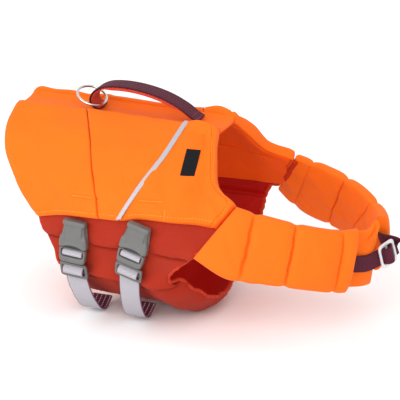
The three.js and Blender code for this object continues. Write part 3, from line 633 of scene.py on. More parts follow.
def back_panel(name, rear, front, rear_edge, front_edge, folds, seed, mirror, shoulder=0):
    """Foam between two seams: full in the middle, thinner at its seams and at the turned hem."""
    base = back_base(rear, front)

    def outer(u, v, point):
        thick = np.where(u < 0.5, rear_edge[0], front_edge[0])
        down = swell(v, 0, 0.1)
        least = np.minimum(thick, HEM + (FOAM - HEM) * down)
        at_handle = np.exp(-(((point[..., 0] - HANDLE_RIDGE["x"]) / HANDLE_RIDGE["half"]) ** 2))
        ridge = RIDGE_RISE * (1 - smooth(v, 0, RIDGE_SPAN))
        ridge = ridge + HANDLE_RIDGE["rise"] * at_handle * (1 - smooth(v, 0.03, 0.2))
        rise = shoulder * smooth(u, 0.68, 0.95) * np.sin(np.pi * v) ** 2
        level = least + ridge + rise + (FOAM - least) * swell(u, rear_edge[1], front_edge[1]) * down
        bound = crease_at_edge(column(front, v) - point[..., 0]) if shoulder else 0
        turned = -STITCH_DIP * np.exp(-(((1 - v) * PANEL_DROP - HEM_STITCH) / 0.8) ** 2)
        return level + bound + turned + cloth_life(point, folds, seed)

    def from_neck(v, point):
        return column(front, v) - point[..., 0]

    def inner(u, v, point):
        """Level but for the lining's run over the red panel's tucked top, and the roll at the neck."""
        x, z = point[..., 0], point[..., 2]
        above = z - column(HEM_HEIGHT, x) - UNDERLAP
        cover = np.maximum(smooth(above, -16, 2), smooth(x, 138, 155))
        level = -1.3 * cover * (1 - smooth(above, 24, 75))
        if shoulder:
            off = from_neck(v, point)
            groove, pillow = np.exp(-(((off - ROLL_STITCH) / 0.8) ** 2)), np.exp(-(((off - 9) / 4.5) ** 2))
            level = level + 2.6 * groove - 1.5 * pillow
        return level + 0 * u

    # The roll shows the outer cloth; past its stitching the inner face takes the darker copy, painted
    # shade.
    def paint(u, v, point):
        return np.where(from_neck(v, point) < ROLL_STITCH, 0, 1) if shoulder else np.ones(len(u), int)

    piece = shell(name, base, steps(165 if shoulder else 76, 110), steps(98, PANEL_DROP), outer, inner,
                  [orange_cloth, orange_lining_painted_shade], (1, 1.8 if shoulder else 1, 2, 1.8), mirror, paint)
    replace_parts(piece, name.replace("foam", "back"))
    stitch_row(f"{name}_hem_thread", base, outer, np.linspace(0.03, 0.97, 60),
               1 - HEM_STITCH / PANEL_DROP, orange_thread_highlit, "orange_nylon", mirror)
    if shoulder:
        places = np.linspace(0.03, 0.97, 110)
        # Close dark stitches in the groove inside the roll: a line of painted shadow.
        stitch_row(f"{name}_roll_painted_shadow", base, lambda u, v, point: inner(u, v, point) - 0.3,
                   1 - ROLL_STITCH / (column(front, places) - column(rear, places)), places, painted_shadow_thread,
                   "orange_nylon", mirror, length=2.4, gap=0.2, wide=1.1)
    return base, outer


def cloth_life(point, folds, seed):
    """Ripples of the cover and its listed folds."""
    return ripple(point, 0.8, seed, 22, 66) + 1.6 * sum(crease(point, *fold) for fold in folds)


def crease_at_edge(distance):
    """The stitched line inside the neck edge, with the narrow roll of cloth outside it."""
    return (-1.5 * np.exp(-((distance - NECK_STITCH) ** 2))
            + 0.5 * np.exp(-(((distance - NECK_ROLL) / 2) ** 2)))


SEWN = (SEAM_FOAM, 0.03)
LOOSE = (HEM, 0.1)
rear_folds = [((-30, -67.7), (8, -65.5), 1.3, -1.4), ((-62, -50), (-28, -72), 7, 1.0),
              ((-45, -70), (-58, -95), 6, -1.3), ((-30, -64), (-76, -24), 9, 0.9),
              ((-104, -62), (-70, -92), 7, 1.0), ((-110, -40), (-80, -88), 6, -0.8),
              ((-4, -64), (-20, -20), 6, 0.7), ((-20, -70), (-24, -94), 5, 0.7)]
middle_folds = [((2, -66), (8, -65.4), 1.3, -1.2), ((8, -62), (34, -44), 7, 0.7),
                ((14, -70), (34, -20), 9, 0.5), ((20, -86), (26, -66), 4, -0.6)]
front_folds = [((86.6, -66), (91.2, -86), 1.6, -0.9), ((54, -60.7), (85, -59.7), 1.3, -1.4),
               ((90, -62), (120, -20), 8, 0.8), ((104, -4), (117, -16), 3, -1.3),
               ((117, -14), (124, -60), 5, -0.7), ((128, -58), (150, -74), 5, 0.9),
               ((62, -58), (74, -30), 6, 0.7), ((80, -64), (70, -78), 5, 0.8),
               ((96, -76), (132, -70), 5, -0.8)]
for side, mirror in (("near", False), ("far", True)):
    back_panel(f"foam_rear_{side}", REAR_HEM, moved(REAR_SEAM, -SEAM_GAP), LOOSE, SEWN, rear_folds,
               3 + mirror, mirror)
    back_panel(f"foam_middle_{side}", REAR_SEAM, moved(PIPING_SEAM, -SEAM_GAP), SEWN, SEWN,
               middle_folds, 5 + mirror, mirror)
    front_base, front_height = back_panel(f"foam_front_{side}", PIPING_SEAM, NECK_EDGE, SEWN,
                                          (NECK_FOAM, 0.12), front_folds, 7 + mirror, mirror, NECK_RISE)
    places = np.linspace(0.04, 0.95, 90)
    stitch_row(f"neck_thread_{side}", front_base, front_height,
               1 - NECK_STITCH / (column(NECK_EDGE, places) - column(PIPING_SEAM, places)), places,
               orange_thread_highlit, "orange_nylon", mirror)
print("foam panels a side: 3, hem stitching", HEM_STITCH, "mm from the edge")

# %% [markdown]
# Zigzag bar tacks show on the foam where the buckle straps and the patch are caught behind it.
# Each is a row of stitches between two places in the side view.

# %% Bar tacks
SIDE_START, SIDE_END, SIDE_TOP = -140, 160, -0.5


def side_base(u, v):
    """The whole side by station (u, rear to front) and height (v, spine to middle)."""
    x = lerp(SIDE_START, SIDE_END, u)
    return torso(x, turn_at_height(x, lerp(SIDE_TOP, -CROWN_RADIUS, v)))


def side_places(start, end, count=24):
    """A straight run between two (x, z) places in the terms of side_base."""
    x, z = (np.linspace(a, b, count) for a, b in zip(start, end))
    return (x - SIDE_START) / (SIDE_END - SIDE_START), (SIDE_TOP - z) / (CROWN_RADIUS + SIDE_TOP)


for side, mirror in (("near", False), ("far", True)):
    for name, start, end, folds, seed in (
            ("rear", (-26.6, -67.5), (-1, -66), rear_folds, 3 + mirror),
            ("front", (56.5, -60.6), (82.4, -59.8), front_folds, 7 + mirror),
            ("patch", (87.9, -67), (89.5, -76.5), front_folds, 7 + mirror)):
        level = lambda u, v, point: FOAM + cloth_life(point, folds, seed)
        stitch_row(f"tack_{name}_{side}", side_base, level, *side_places(start, end), orange_thread_highlit,
                   "orange_nylon", mirror, length=2.0, gap=0.0, wide=0.9, high=0.6, zigzag=0.75)
print("bar tacks a side: 3")

# %% [markdown]
# ## Spine strip
# A flat strip of the same cloth joins the two sides and leaves a valley along the back, where
# the handle is sewn. It is one strip with a slight sag between the foam ridges.

# %% Spine strip
SPINE_LENGTH = NECK_EDGE[0][1] - REAR_HEM[0][1]


def spine_base(u, v):
    x = lerp(REAR_HEM[0][1], NECK_EDGE[0][1], u)
    return np.stack([x, lerp(SPINE_HALF, -SPINE_HALF, v), 0 * x], -1)


spine = shell("spine_cloth", spine_base, steps(70, SPINE_LENGTH), steps(26, 2 * SPINE_HALF),
              lambda u, v, point: (SPINE_WALL + SPINE_LIP * (2 * v - 1) ** 4
                                   - 0.6 * np.sin(np.pi * v) + ripple(point, 0.35, 11)),
              lambda u, v, point: 0 * u, [orange_cloth, orange_lining_painted_shade], (1.5, 1.5, 0.6, 0.6))
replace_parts(spine, "spine_strip")
print("spine strip:", SPINE_LENGTH, "mm long")

# %% [markdown]
# ## Red side and belly panels
# Thinner cloth closes the jacket under the belly. The side panels are tucked up behind the
# orange hem and fall into two sideways folds where nobody fills the jacket. A cloth simulation
# would fold it by chance; the folds here are laid where the real ones are.

# %% Side panels
def red_base(front):
    def base(u, v):
        x = lerp(column(RED_REAR, v), column(front, v), u)
        top = turn_at_height(x, column(HEM_HEIGHT, x) + UNDERLAP)
        return torso(x, lerp(top, turn_at_height(x, RED_BOTTOM), v))
    return base


def gathered(u):
    """How much elastic draws the front edge in: a quarter circle over the last part of u."""
    along = np.clip((u - 1 + GATHER_SPAN) / GATHER_SPAN, 0, 1)
    return 1 - np.sqrt(1 - along * along)


def blown(u, least=0.62):
    """The slack cloth bulges out just behind the gathered edge."""
    return GATHER_BULGE * np.sin(np.pi * np.clip((u - least) / (0.99 - least), 0, 1)) ** 2


def under_buckles(point):
    """1 where a buckle presses the cloth flat, 0 away from it."""
    x, z = point[..., 0], point[..., 2]
    pressed = sum(np.exp(-(((x - place - lean * (z + 90)) / PRESSED_HALF) ** 4))
                  for place, lean in BUCKLE_AT.values())
    return pressed * smooth(z, -160, -146)


PRESSED_HALF = 21
NEAR_SEED, FAR_SEED = 21, 22


def red_height(seed, folds, tucks):
    def height(u, v, point):
        lifted = sum(crease(point, *fold) for fold in folds) + sum(tuck(point, *fold) for fold in tucks)
        if seed == NEAR_SEED:
            lifted = lifted * (1 - under_buckles(point))
        drawn = (blown(u) - GATHER * gathered(u)) * smooth(v, 0.72, 1)
        slack = (lifted + ripple(point, 0.7, seed, 20, 60)) * smooth(v, 0.16, 0.3)
        return -lerp(0.3, LAYER_GAP, smooth(v, 0.25, 0.5)) + drawn + slack
    return height


def red_wall(v):
    """The tucked top tapers to single cloth, so that the lining runs on over it."""
    return lerp(0.35, RED_WALL, smooth(v, 0.3, 0.7))


def lining_step(point):
    """The orange lining ends in a hem that stands in from the red."""
    return LINING_STEP * smooth(point[..., 2], LINING_HEM - 1.2, LINING_HEM + 1.2)


red_tucks = [((-70, -118), (44, -115.5), 14, 4.6, 1.3), ((60, -112), (130, -114), 14, 4.6, 1.3),
             ((-66, -152), (40, -156), 12, 9, 1.2), ((38, -150), (100, -160), 12, 8, 1.2)]
red_folds = [((40, -96), (62, -150), 8, 0.9), ((-10, -100), (-24, -150), 8, -0.8),
             ((96, -92), (112, -150), 7, 0.8), ((118, -98), (92, -150), 5, -0.9),
             ((-40, -100), (-52, -140), 6, 0.8), ((84, -120), (100, -160), 5, -0.7)]
side_heights = {}
for side, mirror, front in (("near", False, NEAR_RED_FRONT), ("far", True, FAR_RED_FRONT)):
    height = red_height(FAR_SEED if mirror else NEAR_SEED, red_folds, red_tucks)
    side_heights[side] = height
    # The inner faces take the darker red and orange copies: painted shade.
    panel = shell(f"red_side_{side}", red_base(front), steps(130, 180), steps(110, 110), height,
                  lambda u, v, point: height(u, v, point) - red_wall(v) - lining_step(point),
                  [red_cloth, red_shade, orange_lining_painted_shade], (1.4, 1.4, 0.4, 1.4), mirror,
                  lambda u, v, point: np.where(point[..., 2] > LINING_HEM, 2, 1))
    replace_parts(panel, f"side_panel_{side}")
    print("side panel:", side, len(panel.data.polygons), "faces")

# %% [markdown]
# The belly panel closes the ring of red cloth. Its front edge is drawn up by elastic, so the
# cloth bulges behind it and stands in small pleats at it.

# %% Belly panel
belly_turn = float(turn_at_height(0, RED_BOTTOM)) + SEAM_GAP / BELLY_DEPTH


def belly_base(u, v):
    x = lerp(column(BELLY_REAR, v), column(BELLY_FRONT, v), u)
    return torso(x, lerp(belly_turn, 2 * np.pi - belly_turn, v))


def belly_height(u, v, point):
    pleat = 0.9 * np.sin(point[..., 1] / 3.4 + 2 * np.sin(point[..., 1] / 17)) * smooth(u, 0.8, 0.99)
    return -LAYER_GAP + blown(u) - GATHER * gathered(u) + pleat + ripple(point, 0.6, 31, 22, 60)


belly = shell("red_belly", belly_base, steps(80, 130), steps(100, 150), belly_height,
              lambda u, v, point: belly_height(u, v, point) - RED_WALL,
              [red_cloth, red_shade], (1.4, 1.4, 1.4, 1.4))
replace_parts(belly, "belly_panel")
print("belly panel's half angle:", round(float(np.degrees(np.pi - belly_turn))), "degrees")


# %% [markdown]
# A folded tape binds the front and rear edges of the red cloth in one run: down one armhole, under
# the belly and up the other. It follows the edge's own points, so it can't come away from it.

# %% Bindings of the red cloth
for side, mirror, front in (("near", False, NEAR_RED_FRONT), ("far", True, FAR_RED_FRONT)):
    u = np.linspace(0.01, 0.99, 150)
    point, normal = surface(red_base(front), u, 1 + 0 * u)
    line = point + normal * (side_heights[side](u, 1 + 0 * u, point) - RED_WALL / 2)[:, None]
    seam = sweep(f"belly_seam_{side}", line, normal, 1.9, 1.3, red_cloth, power=2, around=14, mirror=mirror)


def edge_line(u, top, count=60):
    """Middle of the red cloth's edge from one armhole down, under the belly and up the other."""
    line = []
    for side, front, way in (("near", NEAR_RED_FRONT, 1), ("far", FAR_RED_FRONT, -1)):
        v = np.linspace(top, 1, count)
        point, normal = surface(red_base(front), u + 0 * v, v)
        point = point + normal * (side_heights[side](u + 0 * v, v, point) - RED_WALL / 2)[:, None]
        line.append(point * (1, way, 1))
    v = np.linspace(0.02, 0.98, 2 * count)
    point, normal = surface(belly_base, u + 0 * v, v)
    point = point + normal * (belly_height(u + 0 * v, v, point) - RED_WALL / 2)[:, None]
    return route_through(np.concatenate([line[0], point, line[1][::-1]])[::6], 420)


for name, u, top, shift, half, wave, seed in (("front_binding", 1.0, 0.34, -0.9, 2.0, 0.5, 61),
                                              ("rear_binding", 0.0, 0.3, 0.8, 1.9, 0.3, 62)):
    line = edge_line(u, top)
    reach = run_lengths(line, 0)[:, None]
    puckered = wave * (np.sin(reach / 1.5 + 2.2 * np.sin(reach / 11)) + 0.6 * np.sin(reach / 2.6))
    line = line + np.concatenate([shift + 0.8 * puckered, 0 * reach, 0 * reach], 1)
    binding = sweep(name, line, (1, 0, 0), half, 1.9 + 0.2 * puckered[:, 0], red_binding, power=2.6,
                    around=20, round_end=3, lift=0.35 * puckered[:, 0])
    print(name, "runs", round(float(reach[-1, 0])), "mm")

# %% [markdown]
# ## Collar tubes
# A soft tube runs from each shoulder round the chest. Cross seams quilt it into channels, and
# the thread gathers the cloth into small puckers beside each seam. The tube is one surface with
# two plan curves; a seam is a narrow dip in its swell.

# %% Collar tubes
TUBE_TOP = dict(x=150, reach=149, half=90)
TUBE_BOTTOM = dict(x=130, reach=160, half=128)
NEAR_TUBE = dict(
    end=(1.17, 1.17), tops=[(0, -50), (0.12, -56), (0.35, -63), (0.6, -71), (1, -81), (1.35, -82)],
    lows=[(0, -108), (0.25, -129), (0.5, -133), (0.8, -142), (1.1, -152), (1.4, -157)],
    seams=[(0, 0), (0.139, 0.285), (0.44, 0.553), (0.836, 0.889), (1, 1)], depths=(0.42, 0.42, 0.3))
FAR_TUBE = dict(
    end=(1.44, 1.36), tops=[(0, -50), (0.12, -55), (0.35, -61), (0.6, -67.5), (0.85, -75.5), (1.1, -82),
                            (1.5, -82)],
    lows=[(0, -110), (0.12, -126), (0.25, -135), (0.5, -141), (0.8, -145), (1.4, -154)],
    seams=[(0, 0), (0.11, 0.1), (0.367, 0.324), (0.685, 0.5), (1, 1)], depths=(0.4, 0.85, 0.4))
TUBE_START = (0.107, 0)
TUBE_PUFF, TUBE_INSIDE, TUBE_EDGE = 13, 8, 2.2
TUBE_MEAN = 165  # mm of tube for one radian of its top edge


def tube_curve(plan, heights, turn):
    return np.stack([plan["x"] + plan["reach"] * np.sin(turn), -plan["half"] * np.cos(turn),
                     column(heights, turn)], -1)


def tube_base(tube):
    def base(u, v):
        drawn = sum(0.024 * np.exp(-(((u - seam) * TUBE_MEAN * tube["end"][0] / 6) ** 2))
                    for seam, _ in tube["seams"][1:-1])
        top = tube_curve(TUBE_TOP, tube["tops"], lerp(TUBE_START[0], tube["end"][0], u))
        low_turn = lerp(TUBE_START[1], tube["end"][1], column(tube["seams"], u))
        low = tube_curve(TUBE_BOTTOM, tube["lows"], low_turn)
        return lerp(top, low, lerp(drawn, 1 - drawn, v)[..., None])
    return base


def quilting(tube, u, v, length):
    """How full the tube is beside its cross seams, and the puckers that the thread draws there."""
    full, pucker = np.ones_like(u), 0
    for number, ((seam, _), depth) in enumerate(zip(tube["seams"][1:-1], tube["depths"])):
        wander = 0.55 * np.sin(9 * v + number) + 0.3 * np.sin(27 * v + 2 * number)
        off = (u - seam) * length + wander
        full = full * (1 - depth * np.exp(-((off / 1.25) ** 2)) - 0.15 * np.exp(-((off / 9) ** 2)))
        near_edge = 0.3 + 0.7 * np.abs(2 * v - 1) ** 2
        wave = np.sin(v * 70 + 3 * np.sin(v * 17 + number) + 1.3 * number + np.sign(off))
        fan = np.exp(-((off / (4 + 5 * np.abs(2 * v - 1))) ** 2)) * (1 - np.exp(-((off / 1.2) ** 2)))
        pucker = pucker + wave * near_edge * fan
    return full, pucker


def channel_swell(tube, u):
    """A low arch from seam to seam."""
    seams = np.array([seam for seam, _ in tube["seams"]])
    k = np.clip(np.searchsorted(seams, u) - 1, 0, len(seams) - 2)
    t = (u - seams[k]) / (seams[k + 1] - seams[k])
    return np.sqrt(np.clip(1 - (2 * t - 1) ** 2, 0, 1))


def collar(name, tube, folds, seed, mirror):
    length = TUBE_MEAN * tube["end"][0]

    def outer(u, v, point):
        full, pucker = quilting(tube, u, v, length)
        band = np.sqrt(np.clip(1 - (2 * v - 1) ** 2, 0, 1)) ** 0.8
        ends = 0.45 + 0.55 * swell(u, 0.1, 0.05)
        level = (TUBE_PUFF - TUBE_EDGE) * band * full * ends * (0.84 + 0.16 * channel_swell(tube, u))
        worn = sum(crease(point, *fold) for fold in folds)
        return TUBE_EDGE + level + (0.8 * pucker + worn + ripple(point, 0.9, seed, 20, 60)) * band

    def inner(u, v, point):
        full, pucker = quilting(tube, u, v, length)
        band = np.sqrt(np.clip(1 - (2 * v - 1) ** 2, 0, 1)) ** 0.8
        ends = 0.3 + 0.7 * swell(u, 0.1, 0.05)
        worn = ripple(point, 0.9, seed + 5, 20, 60)
        return -TUBE_EDGE - ((TUBE_INSIDE - TUBE_EDGE) * ends * full + 0.7 * pucker + worn * ends) * band

    piece = shell(name, tube_base(tube), steps(230, length), steps(80, 85), outer, inner, orange_cloth,
                  (2.5, 2.5, 1.6, 1.6), mirror)
    return piece


near_creases = [((160, -84), (174, -112), 4, -0.9), ((188, -72), (200, -98), 5, 0.8),
                ((232, -78), (214, -120), 6, -0.8), ((150, -96), (178, -128), 5, 0.8),
                ((250, -90), (262, -130), 5, 0.8)]
far_creases = [((170, -64), (196, -104), 5, -1.0), ((214, -70), (204, -112), 5, 0.9),
               ((250, -84), (236, -120), 5, -0.9)]
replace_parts(collar("tube_near", NEAR_TUBE, near_creases, 41, False), "collar_near")
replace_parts(collar("tube_far", FAR_TUBE, far_creases, 42, True), "collar_far")


def gusset(name, tube, mirror):
    """The short cloth that joins a tube's open end to the neck edge."""
    neck = back_base(PIPING_SEAM, NECK_EDGE)
    tube_side = tube_base(tube)

    def base(u, v):
        place, normal = surface(neck, 0.985 + 0 * v, lerp(0.79, 0.995, v))
        first = place + 3 * normal
        last = tube_side(0.03 + 0 * v, lerp(0.05, 0.72, v))
        sag = -5.5 * np.sin(np.pi * u)
        return lerp(first, last, u[..., None]) + sag[..., None] * np.array([0, -0.8, 0.6])

    # Its cloth is the darker orange: painted shade of the fold.
    piece = shell(name, base, steps(16, 14, 0.8), steps(50, 40, 0.8), lambda u, v, point: 1.3 + 0 * u,
                  lambda u, v, point: -1.3 + 0 * u, fold_painted_shade, (0.8, 0.8, 0.8, 0.8), mirror)


gusset("tube_root_near", NEAR_TUBE, False)
gusset("tube_root_far", FAR_TUBE, True)
print("collar seams a side:", len(NEAR_TUBE["depths"]))

# %% [markdown]
# ## Chest pad
# A flat padded flap fills the gap between the two tubes at the front of the chest. Its inner
# end is creased where it turns in behind the far tube.

# %% Chest pad
PAD_TURNS = (0.98, 1.58)
PAD_INSET = [(0.95, 14), (1.2, 11.5), (1.4, 4), (1.6, 0)]
PAD_TOP = [(0.95, -84), (1.2, -88), (1.4, -90), (1.6, -82)]
PAD_LOW = [(0.95, -150), (1.2, -155), (1.4, -158), (1.6, -160)]
PAD_REACH, PAD_DROP_BACK, PAD_WIDEN = 148, 9, 1.1
PAD_OUT, PAD_IN, PAD_EDGE = 5, 5, 1.8


def pad_base(u, v):
    turn = lerp(*PAD_TURNS, u)
    inset = column(PAD_INSET, turn)
    x = TUBE_TOP["x"] + (PAD_REACH - inset) * np.sin(turn)
    y = -(TUBE_TOP["half"] - inset) * np.cos(turn)
    top = np.stack([x, y, column(PAD_TOP, turn)], -1)
    low = np.stack([x - PAD_DROP_BACK, y * PAD_WIDEN, column(PAD_LOW, turn)], -1)
    return lerp(top, low, np.asarray(v)[..., None])


def pad_full(u, v):
    return swell(u, 0.2, 0.12) * swell(v, 0.2, 0.2)


def pad_fold(u, v):
    """A deep fold from the far top corner, the cloth standing up above it."""
    start, end = np.array([93.0, -2.0]), np.array([58.0, 15.0])
    way = (end - start) / np.linalg.norm(end - start)
    across, down = u * 95 - start[0], v * 72 - start[1]
    along = across * way[0] + down * way[1]
    off = across * way[1] - down * way[0]
    fade = 1 - smooth(along, 18, 40)
    return fade * (-4.2 * np.exp(-((off / 1.7) ** 2)) + 2 * np.exp(-(((off - 5) / 3.5) ** 2)))


pad = shell("chest_flap", pad_base, steps(90, 95), steps(80, 75),
            lambda u, v, point: (PAD_EDGE + (PAD_OUT - PAD_EDGE) * pad_full(u, v) + pad_fold(u, v)
                                 + ripple(point, 0.7, 51, 20, 50)),
            lambda u, v, point: -PAD_EDGE - (PAD_IN - PAD_EDGE) * pad_full(u, v), orange_cloth,
            (2.2, 2.2, 2.2, 2.2))
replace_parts(pad, "chest_pad")

# %% [markdown]
# ## Grab handle and lead ring
# The handle is a strip of webbing with a softer strip sewn under it, both ends stitched down in
# the spine valley. The rear end curls under itself and holds the steel lead ring.

# %% Handle
HANDLE_WIDTH, HANDLE_WALL, LINING_WIDTH, LINING_WALL, LINING_END = 24, 2, 23.2, 4.4, 1.5
HANDLE_SIDE = [(-32, 7.8), (-40.5, 10.5), (-43.8, 17), (-40, 26), (-29, 33), (-12, 36),
               (16, 35), (44, 29), (66, 19.5), (78, 11.6), (83, 8.8), (87, 7.4)]
handle_line = route_through([(x, 0, z) for x, z in HANDLE_SIDE], 120)
HANDLE_LENGTH = float(run_lengths(handle_line, 0)[-1])
GRIP = slice(28, 100)
LEFT = (0, 1, 0)
handle = sweep("handle_strap", handle_line, LEFT, HANDLE_WIDTH / 2, HANDLE_WALL / 2, handle_webbing,
               power=7, around=28, round_end=1.0, lift=HANDLE_WALL / 2)
share = np.linspace(0, 1, len(handle_line))
grip = lerp(LINING_END, LINING_WALL, smooth(share, 0.22, 0.32) * (1 - smooth(share, 0.78, 0.86)))
under = sweep("handle_underside", handle_line, LEFT, LINING_WIDTH / 2, grip / 2, red_lining,
              power=4, around=32, round_end=1.0, lift=-SEAM_GAP - grip / 2)
ahead = np.gradient(handle_line, axis=0)
handle_up = np.cross(ahead, LEFT) / np.linalg.norm(ahead, axis=1, keepdims=True)
for side in (-1, 1):
    edge = np.array([0, side * (LINING_WIDTH / 2 + 0.05), 0])
    line = handle_line[GRIP] + handle_up[GRIP] * -0.9 + edge
    row = stitches(f"handle_thread_{'far' if side > 0 else 'near'}", line,
                   np.array([[0, side, 0]]) + 0 * line, red_thread, length=2.2, gap=0.2, wide=0.7,
                   high=0.4, zigzag=0.75)
for name, x in (("rear", -34.5), ("front_a", 84), ("front_b", 78)):
    spot = int(np.argmin(np.abs(handle_line[:, 0] - x) + 0.3 * (handle_line[:, 2] > 14) * 100))
    side = np.linspace(-9.5, 9.5, 20)[:, None]
    line = handle_line[spot] + handle_up[spot] * (HANDLE_WALL + 0.05) + side * np.array([0, 1.0, 0])
    stitches(f"handle_tack_{name}", line, handle_up[spot] + 0 * line, wine_thread, length=1.6,
                     gap=0.1, wide=0.7, high=0.4, zigzag=0.7)
for strip, width, node, slot in ((handle, HANDLE_WIDTH, "handle_webbing", "burgundy_webbing"),
                                 (under, LINING_WIDTH, "handle_lining", "red_lining")):
    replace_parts(strip, node)
print("handle webbing:", round(HANDLE_LENGTH), "mm")

# %% [markdown]
# The ring is the one piece on a body of its own. It hangs on the handle's rear leg and swings.

# %% Lead ring
RING_CENTRE = np.array([-47, 0, 18.5])
RING_NORMAL = np.array([0.34, -0.2, 0.92]) / np.linalg.norm([0.34, -0.2, 0.92])
RING_RADIUS, RING_WIRE = 17, 3
ring_way = np.cross(RING_NORMAL, (0, 1, 0))
ring_way /= np.linalg.norm(ring_way)
ring_other = np.cross(RING_NORMAL, ring_way)
turns = np.linspace(0, 2 * np.pi, 120, endpoint=False)[:, None]
ring_line = RING_CENTRE + RING_RADIUS * (np.cos(turns) * ring_way + np.sin(turns) * ring_other)
ring = sweep("steel_ring", ring_line, RING_NORMAL, RING_WIRE / 2, RING_WIRE / 2, steel, power=2,
             around=20, body="ring", closed=True)
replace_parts(ring, "lead_ring")
print("ring across:", 2 * RING_RADIUS + RING_WIRE, "mm")

# %% [markdown]
# ## Reflective strips and patch
# A woven reflective tape is sewn over the slanted seam on each side, and a small black patch sits
# on the near shoulder. The patch stays blank, with a merrowed edge.

# %% Strips and patch
STRIP_WIDTH, STRIP_WALL = 6, 0.8


def strip_base(u, v):
    down = 0.015 + 0.97 * u
    x = column(PIPING_SEAM, down) - SEAM_GAP / 2 + (0.5 - v) * STRIP_WIDTH
    return torso(x, down * turn_at_height(x, column(HEM_HEIGHT, x)))


def strip_lift(u, v, point):
    return FOAM + 0.5 + RIDGE_RISE * (1 - smooth(u, 0, RIDGE_SPAN))


STRIP_LENGTH = 172
for side, mirror in (("near", False), ("far", True)):
    tape = shell(f"tape_{side}", strip_base, steps(90, STRIP_LENGTH, 0.5), steps(8, STRIP_WIDTH, 0.5),
                 lambda u, v, point: strip_lift(u, v, point) + STRIP_WALL, strip_lift, reflective,
                 (0.5, 0.5, 0.5, 0.5), mirror)
    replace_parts(tape, f"reflective_strip_{side}")
    for edge, v in (("rear", 0.86), ("front", 0.14)):
        stitch_row(f"tape_thread_{edge}_{side}", strip_base,
                   lambda u, v, point: strip_lift(u, v, point) + STRIP_WALL, np.linspace(0.02, 0.98, 60), v,
                   grey_thread, "reflective_tape", mirror, wide=0.4, high=0.2)

PATCH = dict(x=100, down=0.505, width=13.6, length=33, wall=1, tilt=-0.05)


def patch_base(u, v):
    along = (0.5 - v) * PATCH["width"]
    below = (u - 0.5) * PATCH["length"]
    x = PATCH["x"] + along - PATCH["tilt"] * below
    hem = turn_at_height(x, column(HEM_HEIGHT, x))
    middle = torso(x, PATCH["down"] * hem)
    after = torso(x, (PATCH["down"] + 0.01) * hem)
    step = np.linalg.norm(after - middle, axis=-1)
    return torso(x, (PATCH["down"] + 0.01 * below / step) * hem)


def patch_edge(u, v):
    """Raised rim of the patch, where its edge is overcast with thread."""
    near = np.minimum(np.minimum(u, 1 - u) * PATCH["length"], np.minimum(v, 1 - v) * PATCH["width"])
    return 0.5 * np.exp(-((near - 0.9) / 0.6) ** 2)


patch = shell("black_label", patch_base, steps(50, 33, 0.7), steps(30, 13.6, 0.7),
              lambda u, v, point: FOAM + 0.5 + PATCH["wall"] * 0.7 + patch_edge(u, v),
              lambda u, v, point: FOAM + 0.5 + 0 * u, black_cloth, (0.7, 0.7, 0.7, 0.7))
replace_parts(patch, "label_patch")
print("patch:", PATCH["width"], "by", PATCH["length"], "mm")

# %% [markdown]
# ## Belly buckles
# Side-release buckles hang under the hem: the socket above, the plug below with a window for
# the webbing, then a frame slider. Each is worked in its own axes: across, down, and out.
# A plate with a window is a rounded bar carried round the window, wider or narrower as needed.

# %% Buckle parts
BELLY_WEBBING = 25
SOCKET = dict(top=27, wide=34, shoulder=8, flare=23, length=32, thick=11)
PLUG = dict(length=18, thick=7, out=2.4, low=31, window_top=0.8, window=10.4)
SLIDER = dict(drop=51.5, length=21, wide=33, thick=3.2, bar=3.2, middle=3.4, sunk=2)
SLIDER_LEAN = 0.42
BUCKLES = [dict(name="rear", y=-104.4, loop_x=-15, low_y=-64),
           dict(name="front", y=-115.5, loop_x=42, low_y=-72)]
BUCKLE_UNDER_HEM = 2.2
OUT = np.array([0.0, -1.0, 0.0])


def local_axes(origin, across, up, out):
    """A function that turns (across, down, out) distances into a point."""
    axes = np.array([across, -np.asarray(up), out])
    return lambda a, d, o: np.asarray(origin) + np.stack(np.broadcast_arrays(a, d, o), -1) @ axes


def squircle(count, half_a, half_b, power=5.0, middle=(0.0, 0.0)):
    """A rounded rectangle as a loop of points, from the superellipse."""
    t = np.linspace(0, 2 * np.pi, count, endpoint=False)
    c, s = np.cos(t), np.sin(t)
    reach = (np.abs(c / half_a) ** power + np.abs(s / half_b) ** power) ** (-1 / power)
    return np.stack([middle[0] + reach * c, middle[1] + reach * s], -1)


def frame_plate(name, place, hole, rim, thick, out, finish, power=4.0, around=16):
    """A plate round a window: at each point of the loop a superellipse between hole and rim."""
    t = np.linspace(0, 2 * np.pi, around, endpoint=False)
    c, s = np.cos(t), np.sin(t)
    a = 0.5 + 0.5 * np.sign(c) * abs(c) ** (2 / power)
    b = 0.5 * np.sign(s) * abs(s) ** (2 / power)
    flat = hole[:, None] + (rim - hole)[:, None] * a[None, :, None]
    points = place(flat[..., 0], flat[..., 1], out + thick / 2 + thick * b[None, :])
    ids = np.arange(points.size // 3).reshape(points.shape[:2])
    loop = np.concatenate([ids, ids[:, :1]], 1)
    loop = np.concatenate([loop, loop[:1]])
    uv = np.stack([flat[..., 0], flat[..., 1]], -1).reshape(-1, 2)
    return add_piece(name, points.reshape(-1, 3), grid_faces(loop).tolist(), uv, finish)


def loft(name, place, stations, finish, power=4.0, around=40, detail=None):
    """A moulded body: a superellipse for each row (down, half width, half thickness, middle out)."""
    down, wide, thick, middle = np.array(stations, float).T
    t = np.linspace(0, 2 * np.pi, around, endpoint=False)
    c, s = np.cos(t), np.sin(t)
    a = wide[:, None] * np.sign(c) * abs(c) ** (2 / power)
    b = middle[:, None] + thick[:, None] * np.sign(s) * abs(s) ** (2 / power)
    d = down[:, None] + 0 * a
    if detail is not None:
        a, d, b = detail(a, d, b)
    points = place(a, d, b)
    ids = np.arange(points.size // 3).reshape(points.shape[:2])
    loop = np.concatenate([ids, ids[:, :1]], 1)
    faces = grid_faces(loop).tolist() + [ids[0].tolist(), ids[-1, ::-1].tolist()]
    uv = np.stack([a, d], -1).reshape(-1, 2)
    return add_piece(name, points.reshape(-1, 3), faces, uv, finish)


